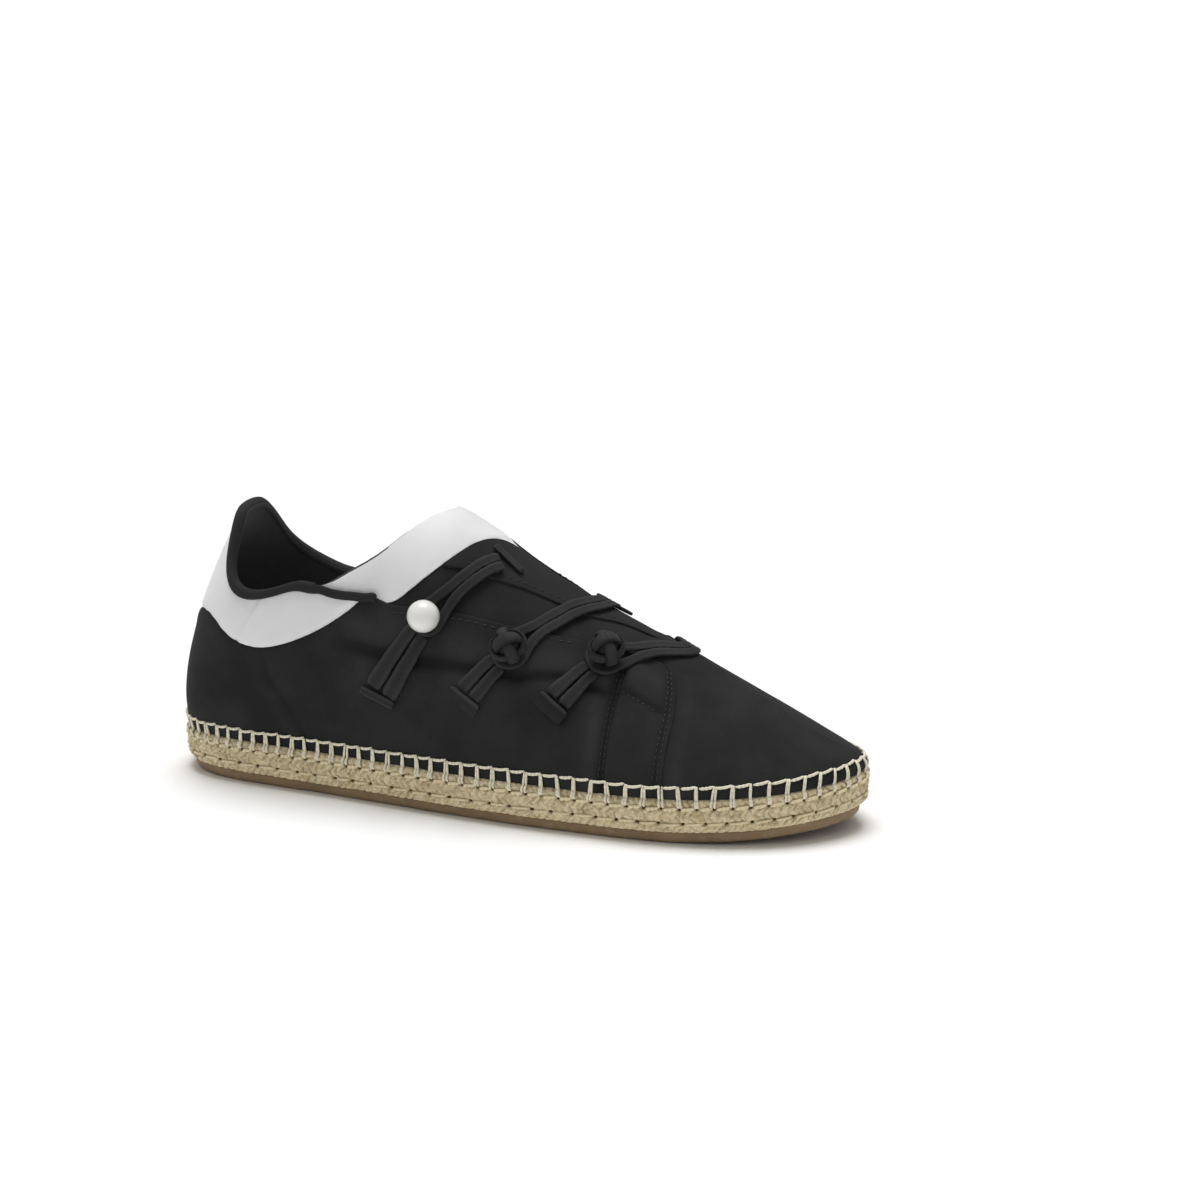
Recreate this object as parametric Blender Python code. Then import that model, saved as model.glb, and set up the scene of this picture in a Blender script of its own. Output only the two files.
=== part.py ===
"""Right shoe: a cotton sneaker on a jute rope sole, closed by three frog fastenings over a wrap-over flap.

Millimetres in the tables, metres in the meshes. +X runs to the toe, +Y to the medial side, +Z up.
The upper's outside is one function, skin(u, across): u runs from the heel (0) to the toe (1), and across
from the lateral feather line (-1) over the ridge (0) to the medial feather line (+1).
"""

import math

import bmesh
import bpy
import numpy as np

MM = 0.001
LENGTH = 270.0  # jute sole, heel to toe
HALF = LENGTH / 2
FEATHER = 17.0  # height at which the cotton leaves the jute
TOE_SPRING = 5.2
SPRING_START = 55.0
HEEL_LIFT = 1.5
HEEL_LIFT_START = -105.0
INSET = 1.2  # the feather line's distance inside the jute's edge
WALL = 2.4  # cotton, padding and lining
GAP = 0.3
RECESS = 0.9  # depth of the throat band and the tongue under the flap and the quarters
QUARTER_STEP = 0.7  # the medial quarter over the front flap
SADDLE_STEP = 0.9  # the saddle piece over quarter and vamp

# station, lateral edge, medial edge of the jute sole
PLAN = (
    (-135, 0, 0),
    (-126, -22.5, 21.9),
    (-103, -30.5, 32.4),
    (-55, -35.4, 32.0),
    (-5, -41.2, 36.5),
    (40, -43.0, 44.5),
    (80, -40.6, 47.2),
    (113, -27.9, 35.8),
    (131, -8.5, 18.2),
    (135, 6.0, 6.0),
)

# station, x, y and z of the rib's upper end: the ridge of the instep, and a spine above the open collar
RIDGE = (
    (-135, -93, 0, 137),
    (-118, -86, 0, 134),
    (-97, -70, 0, 128),
    (-70, -56, 1, 121),
    (-48, -41, 2, 114.5),
    (-30, -28.2, 3.9, 108.0),
    (-25, -23.6, 4, 107.0),
    (-12, -11.5, 4.9, 100.6),
    (10, 10, 6, 86.5),
    (45, 44, 7, 70),
    (80, 77, 8, 54.3),
    (110, 101, 8, 41.5),
    (128, 112, 8, 35.4),
    (135, 115, 8, 34.2),
)

# station, swell and rise of the rib where it leaves the sole, shoulder and drop where it meets the ridge
LATERAL_RIBS = (
    (-135, 11, 26, 14, 26),
    (-130, 10.5, 27, 18, 25),
    (-118, 10, 30, 26, 21),
    (-97, 8, 34, 31, 12),
    (-70, 6, 38, 32, 5),
    (-48, 4.5, 38, 32, 1),
    (-25, 3.5, 34, 28, 0),
    (10, 3.5, 26, 26, 0),
    (45, 3.5, 20, 24, 0),
    (80, 4, 15, 20, 2),
    (110, 3, 10, 12, 3),
    (128, 3.5, 6.5, 9, 4),
    (135, 4, 6, 8, 3.8),
)
MEDIAL_RIBS = (
    (-135, 11, 26, 14, 26),
    (-130, 10.5, 27, 18, 25),
    (-118, 10, 30, 26, 21),
    (-97, 8, 34, 31, 12),
    (-70, 6, 38, 32, 5),
    (-48, 4, 38, 30, 1),
    (-25, 3, 34, 24, 1),
    (10, 2.5, 28, 17, 2),
    (45, 3, 20, 15, 2),
    (80, 4, 14, 13, 2),
    (110, 3, 10, 10, 2.8),
    (128, 3.5, 6.5, 9, 3.9),
    (135, 4, 6, 8, 3.8),
)

# station, height of the opening's edge on the lateral and the medial side, up to the throat's peak
TOPLINE = (
    (-135, 102.8, 102.8),
    (-133.5, 102.5, 102.6),
    (-130, 101.1, 101.5),
    (-126, 96, 98),
    (-122, 86.5, 92.5),
    (-118.5, 80.5, 87),
    (-112, 76, 80),
    (-104, 76, 75),
    (-95, 78.6, 71.8),
    (-85, 81, 70.8),
    (-75, 81, 71),
    (-69, 83.5, 73),
    (-61, 88, 77),
    (-48, 95.5, 87.5),
    (-36, 104.4, 100.6),
    (-31, 107, 106.1),
    (-28, 107.7, 107.7),
)

# Edges drawn on the skin as station and rise, the share of the way up the rib from feather to ridge.
# The lower line is the quarter's top edge, and past the saddle's back seam the saddle's top edge.
LATERAL_LOWER = (
    (-75, 0.50),
    (-65, 0.487),
    (-49, 0.498),
    (-39.2, 0.487),
    (-14.8, 0.537),
    (3.3, 0.591),
    (31.6, 0.687),
    (51, 0.755),
    (62.7, 0.784),
    (76, 0.784),
    (135, 0.77),
)
MEDIAL_LOWER = (
    (-75, 0.44),
    (-42, 0.447),
    (-24, 0.50),
    (-9.4, 0.58),
    (24, 0.53),
    (51, 0.55),
    (58, 0.70),
    (64.3, 0.755),
    (76, 0.755),
    (135, 0.77),
)
# The wrap-over flap's edge, and on the medial side the big quarter's front seam.
LATERAL_FLAP = (
    (-21.4, 0.667),
    (-14.2, 0.702),
    (-2.7, 0.740),
    (9.4, 0.790),
    (18.4, 0.813),
    (32.6, 0.836),
    (37.3, 0.878),
    (42.5, 0.908),
    (47.6, 0.931),
    (54.3, 0.95),
    (60, 0.96),
    (76, 0.96),
)
MEDIAL_FLAP = (
    (-6, 0.975),
    (12, 0.945),
    (24.4, 0.830),
    (36.3, 0.737),
    (43.8, 0.629),
    (51, 0.55),
    (58, 0.77),
)
# The white throat band's lower edge.
LATERAL_BAND = (
    (-39.2, 0.487),
    (-28.6, 0.595),
    (-20.2, 0.699),
    (-14.8, 0.803),
    (-10, 0.93),
    (-6, 1.0),
)
MEDIAL_BAND = ((-42, 0.447), (-23.8, 0.583), (-14.5, 0.685), (-10, 0.78), (-6, 1.0))
# The saddle's front edge: rise, and how far back of its foot the edge lies there.
SADDLE_FRONT = {
    -1: ((0.15, 0), (0.5, 0.9), (0.64, 3.0), (0.75, 6.2), (0.784, 9.5), (1, 9.0)),
    1: ((0.5, 0), (0.6, 0.6), (0.70, 2.2), (0.74, 5.0), (0.76, 8.5), (1, 9.0)),
}
SADDLE = (51.0, 72.6)  # station of the back seam, and of the front edge's foot
BEND_END = 96.0

# Ribs of the upper: round the heel by turn, then by station, with two close together at each of the saddle's edges.
HEEL_TURNS = (0, 0.03, 0.055, 0.08, 0.1, 0.12, 0.14, 0.16, 0.175, 0.19, 0.205, 0.22, 0.235, 0.25, 0.265, 0.28)
QUARTER_STATIONS = (-80, -75, -69, -62, -54, -46, -42.5, -39.2, -34, -31, -28, -24, -20, -14.5, -10, -6)
VAMP_STATIONS = (1, 8, 16, 25, 34, 43, 51.0, 51.4, 57, 62, 66, 69.5, 72.2, 72.6, 77, 84, 91)
TOE_STATIONS = (99, 106, 113, 119, 124, 128, 131, 133, 134.4, 135)

# side profile of the jute sole: height, set-back from the plan
JUTE_PROFILE = (
    (4.5, 1.9),
    (5.4, 0.5),
    (7.6, 0.3),
    (8.4, 0.9),
    (9.2, 0.1),
    (11.8, 0.0),
    (12.6, 0.7),
    (13.4, 0.1),
    (15.8, 0.4),
    (16.7, 1.6),
)
OUTSOLE_PROFILE = ((0.0, 4.0), (1.2, 3.0), (3.4, 2.7), (4.2, 3.1))
INSOLE_PROFILE = ((17.0, 5.2), (17.8, 4.5), (19.3, 4.5), (20.0, 5.4))

# The three fastenings from the throat to the toe: where each part lies on the skin, as station and across.
# anchor: bar at the upper end; route: the cords' way from it to the button's foot; bar: lower end of the tail;
# tail: width of each of its two tapes at the button and at the bar; reach: radius of the loop round the button.
FROGS = (
    {
        "name": "frog_1",
        "anchor": ((-7.6, -0.122), (4.2, -0.152)),
        "route": ((-3.4, -0.18), (-5.6, -0.215), (-9.2, -0.281), (-12.6, -0.347), (-15.6, -0.397)),
        "foot": (-23.0, -0.505),
        "reach": 6.1,
        "bar": ((-48.4, -0.775), (-34.2, -0.803)),
        "tail": (4.9, 6.7),
        "tab": False,
    },
    {
        "name": "frog_2",
        "anchor": ((26.8, 0.154), (42.1, 0.077)),
        "route": ((34.3, 0.085), (33.0, 0.0), (30.4, -0.085), (26.7, -0.157), (22.6, -0.248), (18.2, -0.33), (14.6, -0.387)),
        "foot": (9.0, -0.489),
        "reach": 5.7,
        "bar": ((-11.8, -0.696), (0.3, -0.734)),
        "tail": (4.2, 5.3),
        "tab": True,
    },
    {
        "name": "frog_3",
        "anchor": ((50.6, 0.29), (62.7, 0.386)),
        "route": ((58.2, 0.29), (63.2, 0.18), (66.6, 0.06), (66.2, -0.045), (62.2, -0.10), (57.1, -0.176), (52.6, -0.25)),
        "foot": (42.5, -0.350),
        "reach": 5.7,
        "bar": ((22.6, -0.596), (33.8, -0.654)),
        "tail": (3.9, 5.6),
        "tab": True,
    },
)
RIB_LENGTH = 95.0  # a typical rib, to weigh station and across alike
LIFT = 0.35  # clearance of the fastenings over the upper
CORD_WIDTH = 3.9
CORD_HEIGHT = 2.0
CORD_SPREAD = 2.15  # half the distance between the two cords of a loop
BAR_WIDTH = 3.0
BAR_HEIGHT = 2.2
TAPE_HEIGHT = 1.5
PEARL_RADIUS = 6.3
KNOT_RADIUS = 5.3
STRAND_RADIUS = 1.6

COLOURS = {
    "rubber": ((0.20, 0.145, 0.105), 0.75, 0.0),
    "jute": ((0.56, 0.46, 0.29), 0.95, 0.0),
    "lining": ((0.022, 0.022, 0.024), 0.9, 0.0),
    "cotton": ((0.018, 0.018, 0.020), 0.85, 0.0),
    "cord": ((0.016, 0.016, 0.018), 0.7, 0.0),
    "pearl": ((0.86, 0.85, 0.82), 0.15, 0.0),
}


# ---------------------------------------------------------------- curves


def turn(station):
    """How far round the plan a station lies: 0 at the heel's end, 1 at the toe's."""
    return np.arccos(np.clip(-np.asarray(station, float) / HALF, -1, 1)) / np.pi


def station_of(u):
    return -HALF * np.cos(np.pi * np.asarray(u, float))


class Curve:
    """A natural or flat-ended cubic through a table's column, read by turn."""

    def __init__(self, table, column, flat_ends=True):
        rows = np.array(table, float)
        self.at = turn(rows[:, 0])
        self.value = rows[:, column]
        step = np.diff(self.at)
        slope = np.diff(self.value) / step
        count = len(self.at)
        system = np.eye(count)
        right = np.zeros(count)
        for i in range(1, count - 1):
            system[i, i - 1 : i + 2] = step[i - 1], 2 * (step[i - 1] + step[i]), step[i]
            right[i] = 6 * (slope[i] - slope[i - 1])
        if flat_ends:
            system[0, :2] = 2 * step[0], step[0]
            right[0] = 6 * slope[0]
            system[-1, -2:] = step[-1], 2 * step[-1]
            right[-1] = -6 * slope[-1]
        self.bend = np.linalg.solve(system, right)

    def __call__(self, u):
        u = np.clip(np.asarray(u, float), self.at[0], self.at[-1])
        i = np.clip(np.searchsorted(self.at, u) - 1, 0, len(self.at) - 2)
        width = self.at[i + 1] - self.at[i]
        near = u - self.at[i]
        far = self.at[i + 1] - u
        return (
            (self.bend[i] * far**3 + self.bend[i + 1] * near**3) / (6 * width)
            + (self.value[i] / width - self.bend[i] * width / 6) * far
            + (self.value[i + 1] / width - self.bend[i + 1] * width / 6) * near
        )


def columns(table, last, flat_ends=True):
    return [Curve(table, column, flat_ends) for column in range(1, last + 1)]


EDGE = dict(zip((-1, 1), columns(PLAN, 2, flat_ends=False)))
SPINE = columns(RIDGE, 3)
RIB = {-1: columns(LATERAL_RIBS, 4), 1: columns(MEDIAL_RIBS, 4)}
TOP = dict(zip((-1, 1), columns(TOPLINE, 2)))


def line(table, u):
    """A drawn edge, straight between its rows."""
    rows = np.array(table, float)
    return np.interp(station_of(u), rows[:, 0], rows[:, 1])


# ---------------------------------------------------------------- the last


def spring(x):
    """Rise of the sole towards the toe."""
    return TOE_SPRING * (np.clip(x - SPRING_START, 0, None) / (HALF - SPRING_START)) ** 2


def heel_lift(x, z):
    """The outsole's back edge rolls up a little, and the feather line doesn't."""
    reach = np.clip(HEEL_LIFT_START - x, 0, None) / (HALF + HEEL_LIFT_START)
    return HEEL_LIFT * reach**2 * (1 - z / FEATHER)


def plan(u, side):
    return np.stack([station_of(u), EDGE[side](u)], -1)


def outward(u, side):
    """Unit normal of the plan, pointing out of the shoe."""
    step = 1e-3
    along = plan(np.minimum(u + step, 1), side) - plan(np.maximum(u - step, 0), side)
    along /= np.linalg.norm(along, axis=-1, keepdims=True)
    normal = -side * np.stack([along[..., 1], -along[..., 0]], -1)
    at_heel = (np.asarray(u) < step)[..., None]
    at_toe = (np.asarray(u) > 1 - step)[..., None]
    return np.where(at_heel, [-1.0, 0.0], np.where(at_toe, [1.0, 0.0], normal))


def rib_point(u, rise, side):
    """A rib is one cubic arc from the feather line, swelling out and up, then over to the spine."""
    u = np.asarray(u, float)
    flat = np.zeros_like(u)[..., None]
    out = np.concatenate([outward(u, side), flat], -1)
    up = np.array([0, 0, 1.0])
    swell, lift, shoulder, drop = (curve(u)[..., None] for curve in RIB[side])
    edge = plan(u, side)
    foot = np.concatenate([edge, (FEATHER + spring(edge[..., 0]))[..., None]], -1) - out * INSET
    crest = np.stack([curve(u) for curve in SPINE], -1)
    low = foot + out * swell + up * lift
    high = crest + out * shoulder - up * drop
    t = np.asarray(rise, float)[..., None]
    return (1 - t) ** 3 * foot + 3 * t * (1 - t) ** 2 * low + 3 * t**2 * (1 - t) * high + t**3 * crest


def skin(u, across):
    """Point on the upper's outside. Past the heel or toe it goes on round to the other side."""
    u = np.asarray(u, float)
    across = np.asarray(across, float) + np.zeros_like(u)
    across = np.where((u < 0) | (u > 1), -across, across)
    u = np.where(u < 0, -u, np.where(u > 1, 2 - u, u))
    rise = 1 - np.abs(across)
    return np.where((across > 0)[..., None], rib_point(u, rise, 1), rib_point(u, rise, -1))


def normal(u, across):
    step = 2e-3
    u, across = np.broadcast_arrays(np.asarray(u, float), np.asarray(across, float))
    at_end = (np.abs(across) < 2 * step) & ((u < step) | (u > 1 - step))
    across = np.where(at_end, 2 * step, across)
    along = skin(u + step, across) - skin(u - step, across)
    over = skin(u, across + step) - skin(u, across - step)
    n = np.cross(along, over)
    return n / np.linalg.norm(n, axis=-1, keepdims=True)


def rise_at(u, side, height):
    """The share of the rib that lies under a height."""
    low = np.zeros_like(np.asarray(u, float))
    high = np.ones_like(low)
    for _ in range(30):
        middle = (low + high) / 2
        below = rib_point(u, middle, side)[..., 2] < height
        low = np.where(below, middle, low)
        high = np.where(below, high, middle)
    return high


def top_rise(u, side):
    """Where the rib ends: at the collar's edge, or at the ridge in front of the throat."""
    u = np.asarray(u, float)
    return np.where(station_of(u) > TOPLINE[-1][0] - 0.01, 1.0, rise_at(u, side, TOP[side](u)))


# ---------------------------------------------------------------- mesh helpers


def material(name):
    if name in bpy.data.materials:
        return bpy.data.materials[name]
    colour, roughness, metallic = COLOURS[name]
    made = bpy.data.materials.new(name)
    made.use_nodes = True
    shader = made.node_tree.nodes["Principled BSDF"]
    shader.inputs["Base Color"].default_value = (*colour, 1)
    shader.inputs["Roughness"].default_value = roughness
    shader.inputs["Metallic"].default_value = metallic
    return made


def solid(name, points, faces, finish, smooth_angle=40):
    """One closed mesh from points in millimetres, with the points that meet made one."""
    mesh = bmesh.new()
    corners = [mesh.verts.new(tuple(float(c) * MM for c in point)) for point in points]
    for face in faces:
        try:
            mesh.faces.new([corners[i] for i in face])
        except ValueError:
            pass  # a face that has already been made
    bmesh.ops.remove_doubles(mesh, verts=mesh.verts, dist=1e-5)
    bmesh.ops.dissolve_degenerate(mesh, edges=mesh.edges, dist=1e-6)
    bmesh.ops.recalc_face_normals(mesh, faces=mesh.faces)
    data = bpy.data.meshes.new(name)
    mesh.to_mesh(data)
    mesh.free()
    data.materials.append(material(finish))
    data.shade_smooth()
    data.set_sharp_from_angle(angle=math.radians(smooth_angle))
    made = bpy.data.objects.new(name, data)
    bpy.context.scene.collection.objects.link(made)
    return made


def skin_of_tube(rings, closed=False):
    """Faces between rings of equal length, with an end face at each open end."""
    count = len(rings[0])
    points = np.concatenate(rings)
    faces = []
    last = len(rings) if closed else len(rings) - 1
    for i in range(last):
        a = i * count
        b = (i + 1) % len(rings) * count
        for j in range(count):
            k = (j + 1) % count
            faces.append((a + j, a + k, b + k, b + j))
    if not closed:
        faces.append(tuple(reversed(range(count))))
        faces.append(tuple(range(len(points) - count, len(points))))
    return points, faces


def rounded(half_width, half_height, corners=6):
    """Cross-section of a cord or tape: a superellipse, as sideways and upward offsets."""
    turns = np.linspace(0, 2 * np.pi, corners, endpoint=False)
    c, s = np.cos(turns), np.sin(turns)
    return np.stack([half_width * np.sign(c) * abs(c) ** 0.7, half_height * np.sign(s) * abs(s) ** 0.7], -1)


def sweep(path, normals, section):
    """Rings of a cross-section along a path, each square to it and flat on the skin."""
    along = np.gradient(path, axis=0)
    along /= np.linalg.norm(along, axis=1, keepdims=True)
    side = np.cross(normals, along)
    side /= np.linalg.norm(side, axis=1, keepdims=True)
    up = np.cross(along, side)
    return [p + section[:, :1] * s + section[:, 1:] * n for p, s, n in zip(path, side, up)]


def smooth_path(points, count):
    """A curve through hand-placed marks on the skin, read at even spacing (Catmull-Rom)."""
    points = np.array(points, float)
    padded = np.vstack([2 * points[0] - points[1], points, 2 * points[-1] - points[-2]])
    fine = []
    for p0, p1, p2, p3 in zip(padded, padded[1:], padded[2:], padded[3:]):
        t = np.linspace(0, 1, 12, endpoint=False)[:, None]
        fine.append(0.5 * (2 * p1 + (p2 - p0) * t + (2 * p0 - 5 * p1 + 4 * p2 - p3) * t**2 + (3 * p1 - p0 - 3 * p2 + p3) * t**3))
    fine = np.vstack([*fine, points[-1:]])
    run = np.concatenate([[0], np.cumsum(np.linalg.norm(np.diff(fine * (1, RIB_LENGTH), axis=0), axis=1))])
    want = np.linspace(0, run[-1], count)
    return np.stack([np.interp(want, run, fine[:, k]) for k in range(fine.shape[1])], -1)


# ---------------------------------------------------------------- sole


def sole_layer(name, profile, finish, ribs=30):
    """A layer of the sole: its side profile set back from the plan, with crossed strips over and under."""
    u = np.linspace(0, 1, ribs)
    rings = []
    for height, setback in profile:
        halves = []
        for side, turns in ((-1, u), (1, u[-2:0:-1])):
            edge = plan(turns, side) - outward(turns, side) * setback
            z = height + spring(edge[:, 0]) + heel_lift(edge[:, 0], height)
            halves.append(np.column_stack([edge, z]))
        rings.append(np.concatenate(halves))
    points, faces = skin_of_tube(rings)
    del faces[-2:]
    count = len(rings[0])
    for base in (0, len(points) - count):
        for i in range(ribs - 1):
            across = (base + i, base + i + 1, base + (count - i - 1) % count, base + (count - i) % count)
            faces.append(tuple(dict.fromkeys(across)))
    return solid(name, points, faces, finish)


# ---------------------------------------------------------------- upper


def upper_turns():
    stations = QUARTER_STATIONS + VAMP_STATIONS + TOE_STATIONS
    return np.concatenate([HEEL_TURNS, turn(stations)])


def bent(x, rises, side):
    """Stations up one rib. The ribs near the saddle's front edge lean back with it."""
    back, front = SADDLE
    weight = (x - back) / (front - back) if x < front else (BEND_END - x) / (BEND_END - front)
    table = np.array(SADDLE_FRONT[side])
    return x - max(0.0, weight) * np.interp(rises, table[:, 0], table[:, 1])


def levels(u, side):
    """Rises and levels up one rib: quarter or saddle, recess, flap, throat band."""
    x = float(station_of(u))
    open_end = QUARTER_STATIONS[1] + 1

    def crossing(table):
        rise = 0.7
        for _ in range(6):
            rise = float(line(table, turn(bent(x, rise, side))))
        return rise

    top = float(top_rise(u, side))
    lower = top if x < open_end else min(crossing(LATERAL_LOWER if side < 0 else MEDIAL_LOWER), top)
    band = max(lower, min(crossing(LATERAL_BAND if side < 0 else MEDIAL_BAND), top))
    flap = min(max(lower, crossing(LATERAL_FLAP if side < 0 else MEDIAL_FLAP)), band)
    on_saddle = SADDLE[0] + 0.2 < x < SADDLE[1] - 0.2
    throat = -RECESS if x > open_end else 0.0
    if side < 0:
        body = SADDLE_STEP if on_saddle else 0.0
        tongue = -RECESS * float(np.clip((62 - x) / 8, 0, 1)) if x > open_end else 0.0
        front = -RECESS if x < -22 else 0.0
        if x < -22:
            flap = band
    else:
        quarter = QUARTER_STEP * float(np.clip((x + 60) / 60, 0, 1)) if x < SADDLE[0] + 0.2 else 0.0
        body = SADDLE_STEP if on_saddle else quarter
        tongue = quarter
        front = 0.0 if x > -7 else quarter
        if x < -7:
            flap = band
    parts = (
        (0.0, lower, 7, body),
        (lower, flap, 2, tongue),
        (flap, band, 2, front),
        (band, top, 2, throat),
    )
    rises, heights = [], []
    for start, end, steps, level in parts:
        if end - start < 1e-6:  # no room for this part here: it stays on its neighbour
            level = heights[-1]
        rises.extend(np.linspace(start, end, steps + 1))
        heights.extend([level] * (steps + 1))
    return np.array(rises), np.array(heights)


def upper():
    """Outer skin with its steps, inner skin a wall's thickness in, joined at the rim and at the feather edge."""
    inner_rows = 7
    turns = upper_turns()
    ribs = []
    order = [(-1, u) for u in turns] + [(1, u) for u in turns[-2:0:-1]]
    for side, u in order:
        x = float(station_of(u))
        rises, heights = levels(u, side)
        across = side * (1 - rises)
        leaning = turn(bent(x, rises, side)) if x > SADDLE[0] and x < BEND_END else np.full(len(rises), u)
        outer = skin(leaning, across) + normal(leaning, across) * heights[:, None]
        outer[0, 2] = skin(u, across[0])[2]
        rises = np.linspace(0, float(top_rise(u, side)), inner_rows)
        across = side * (1 - rises)
        leaning = turn(bent(x, rises, side)) if x > SADDLE[0] and x < BEND_END else np.full(len(rises), u)
        inner = skin(leaning, across) - normal(leaning, across) * WALL
        inner[0, 2] = outer[0, 2]
        ribs.append(np.concatenate([outer, inner[::-1]]))
    rows = len(ribs[0])
    rim = rows - inner_rows - 1
    points = np.concatenate(ribs)
    faces = []
    count = len(ribs)
    closed_over = [station_of(u) > TOPLINE[-1][0] - 0.01 for _, u in order]
    for i in range(count):
        a, b = i * rows, (i + 1) % count * rows
        over = closed_over[i] and closed_over[(i + 1) % count]
        for j in range(rows):
            if over and j == rim:
                continue
            k = (j + 1) % rows
            faces.append((a + j, b + j, b + k, a + k))
    return solid("upper", points, faces, "cotton", 30)


def on_skin(station, across, lift):
    u = turn(station)
    across = np.asarray(across, float)
    return skin(u, across) + normal(u, across) * np.asarray(lift, float)[..., None]


def highest_step(station, across):
    """The upper's highest step close to a mark: what a fastening rests on there."""
    found = []
    for along in (-4, 0, 4):
        u = float(turn(station + along))
        for side in (-1, 1):
            rises, heights = levels(u, side)
            near = np.abs(side * (1 - rises) - across) < 0.12
            found.extend(np.interp(1 - abs(across) + np.array([-0.1, 0, 0.1]), rises, heights) if side * across >= 0 else heights[near])
    return max(0.0, *found)


def rests(marks):
    return np.array([highest_step(station, across) for station, across in marks])


# Sections of the collar's binding, as distances out of the skin and above the edge, from the rim's fold
# round the heel to the strip on the outside, where the throat band rises behind it.
BINDING = {
    -80: ((0.45, -3.2), (1.4, -3.1), (1.6, 0.4), (0.6, 1.3), (-2.9, 1.3), (-4.1, 0.4), (-4.0, -3.2), (-3.0, -3.3), (-2.9, 0.4), (0.45, 0.4)),
    -78.5: ((0.45, -3.2), (1.4, -3.1), (1.6, 0.4), (0.6, 1.3), (-1.2, 1.3), (-3.3, 1.2), (-3.5, 0.8), (-3.2, 0.45), (-2.8, 0.4), (0.45, 0.4)),
    -77: ((0.45, -3.2), (1.4, -3.1), (1.6, 0.4), (1.1, 1.3), (0.9, 1.3), (0.6, 1.2), (0.45, 1.0), (0.4, 0.8), (0.4, 0.6), (0.4, 0.4)),
    -75.5: ((0.4, -3.3), (1.2, -3.2), (1.6, -1.6), (1.3, 0.1), (1.0, 0.2), (0.8, 0.2), (0.6, 0.2), (0.4, 0.1), (0.4, -0.9), (0.4, -1.8)),
}
BINDING_END = -43.0


def collar_binding():
    """Folded tape round the collar. On both sides it ends flat on the quarter's top edge, under the throat band."""
    stations = np.array([BINDING_END, -48, -54, -60, -66, -71, -75.5, -77, -78.5, -80])
    turns = np.concatenate([turn(stations), HEEL_TURNS[::-1]])
    order = [(-1, u) for u in turns] + [(1, u) for u in turns[-2::-1]]
    rings = []
    for side, u in order:
        x = float(station_of(u))
        flat = x > -76
        table = LATERAL_LOWER if side < 0 else MEDIAL_LOWER
        edge = float(top_rise(u, side))
        if x > -75:
            edge = min(edge, float(line(table, u)))
        across = side * (1 - edge)
        lift = highest_step(x, across + side * 0.03) if flat else 0.0
        out = normal(u, across)
        rim = skin(u, across) + out * lift
        up = skin(u, across) - skin(u, across + side * 0.02)
        up /= np.linalg.norm(up)
        section = np.array(BINDING[min(BINDING, key=lambda at: abs(at - max(-80, min(x, -75.5))))])
        rings.append(rim + section[:, :1] * out + section[:, 1:] * up)
    points, faces = skin_of_tube(rings)
    return solid("collar_binding", points, faces, "cotton")


# ---------------------------------------------------------------- fastenings


def strip(name, marks, widths, height, count, shifts=(0.0, 0.0)):
    """A cord or tape on the skin through marks, with its width and sideways shift at either end."""
    marks = smooth_path(marks, count)
    lifts = rests(marks) + LIFT + height / 2
    path = on_skin(marks[:, 0], marks[:, 1], lifts)
    normals = normal(turn(marks[:, 0]), marks[:, 1])
    along = np.gradient(path, axis=0)
    side = np.cross(normals, along)
    side /= np.linalg.norm(side, axis=1, keepdims=True)
    path = path + side * np.linspace(*shifts, count)[:, None]
    rings = sweep(path, normals, rounded(0.5, height / 2))
    wide = np.linspace(*widths, count)
    across = sweep(path, normals, np.array([[1.0, 0.0], [-1.0, 0.0]]))
    for ring, pair, width in zip(rings, across, wide):
        unit = (pair[0] - pair[1]) / 2
        ring += np.outer((ring - pair.mean(axis=0)) @ unit, unit) * (width - 1)
    points, faces = skin_of_tube(rings)
    return solid(name, points, faces, "cord")


def foot_frame(mark):
    """Centre, outward normal and two tangents of the skin at a mark."""
    u, across = turn(mark[0]), mark[1]
    out = normal(u, across)
    along = np.cross(out, [0, 1.0, 0])
    along /= np.linalg.norm(along)
    return skin(u, across), out, along, np.cross(out, along)


def loop(frog, reach):
    """One cord out from the anchor, round the button's foot and back beside itself."""
    centre, out, _, _ = foot_frame(frog["foot"])
    height = LIFT + CORD_HEIGHT / 2
    marks = smooth_path(frog["route"], 11)
    middle = on_skin(marks[:, 0], marks[:, 1], rests(marks) + height)
    normals = normal(turn(marks[:, 0]), marks[:, 1])
    along = np.gradient(middle, axis=0)
    side = np.cross(normals, along)
    side /= np.linalg.norm(side, axis=1, keepdims=True)
    heading = middle[-1] - centre
    heading -= out * heading.dot(out)
    heading /= np.linalg.norm(heading)
    left = np.cross(heading, out)
    opening = math.asin(CORD_SPREAD / reach)
    angles = np.linspace(opening + 0.45, 2 * math.pi - opening - 0.45, 11)
    ring = [centre + out * (height + 0.3) + reach * (heading * math.cos(t) + left * math.sin(t)) for t in angles]
    sign = np.sign(side[-1].dot(left))
    outward_cord = middle + sign * side * CORD_SPREAD
    return_cord = (middle - sign * side * CORD_SPREAD)[::-1]
    path = np.vstack([outward_cord, ring, return_cord])
    normals = np.vstack([normals, np.tile(out, (len(ring), 1)), normals[::-1]])
    points, faces = skin_of_tube(sweep(path, normals, rounded(CORD_WIDTH / 2, CORD_HEIGHT / 2)))
    return solid(frog["name"] + "_loop", points, faces, "cord")


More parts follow.
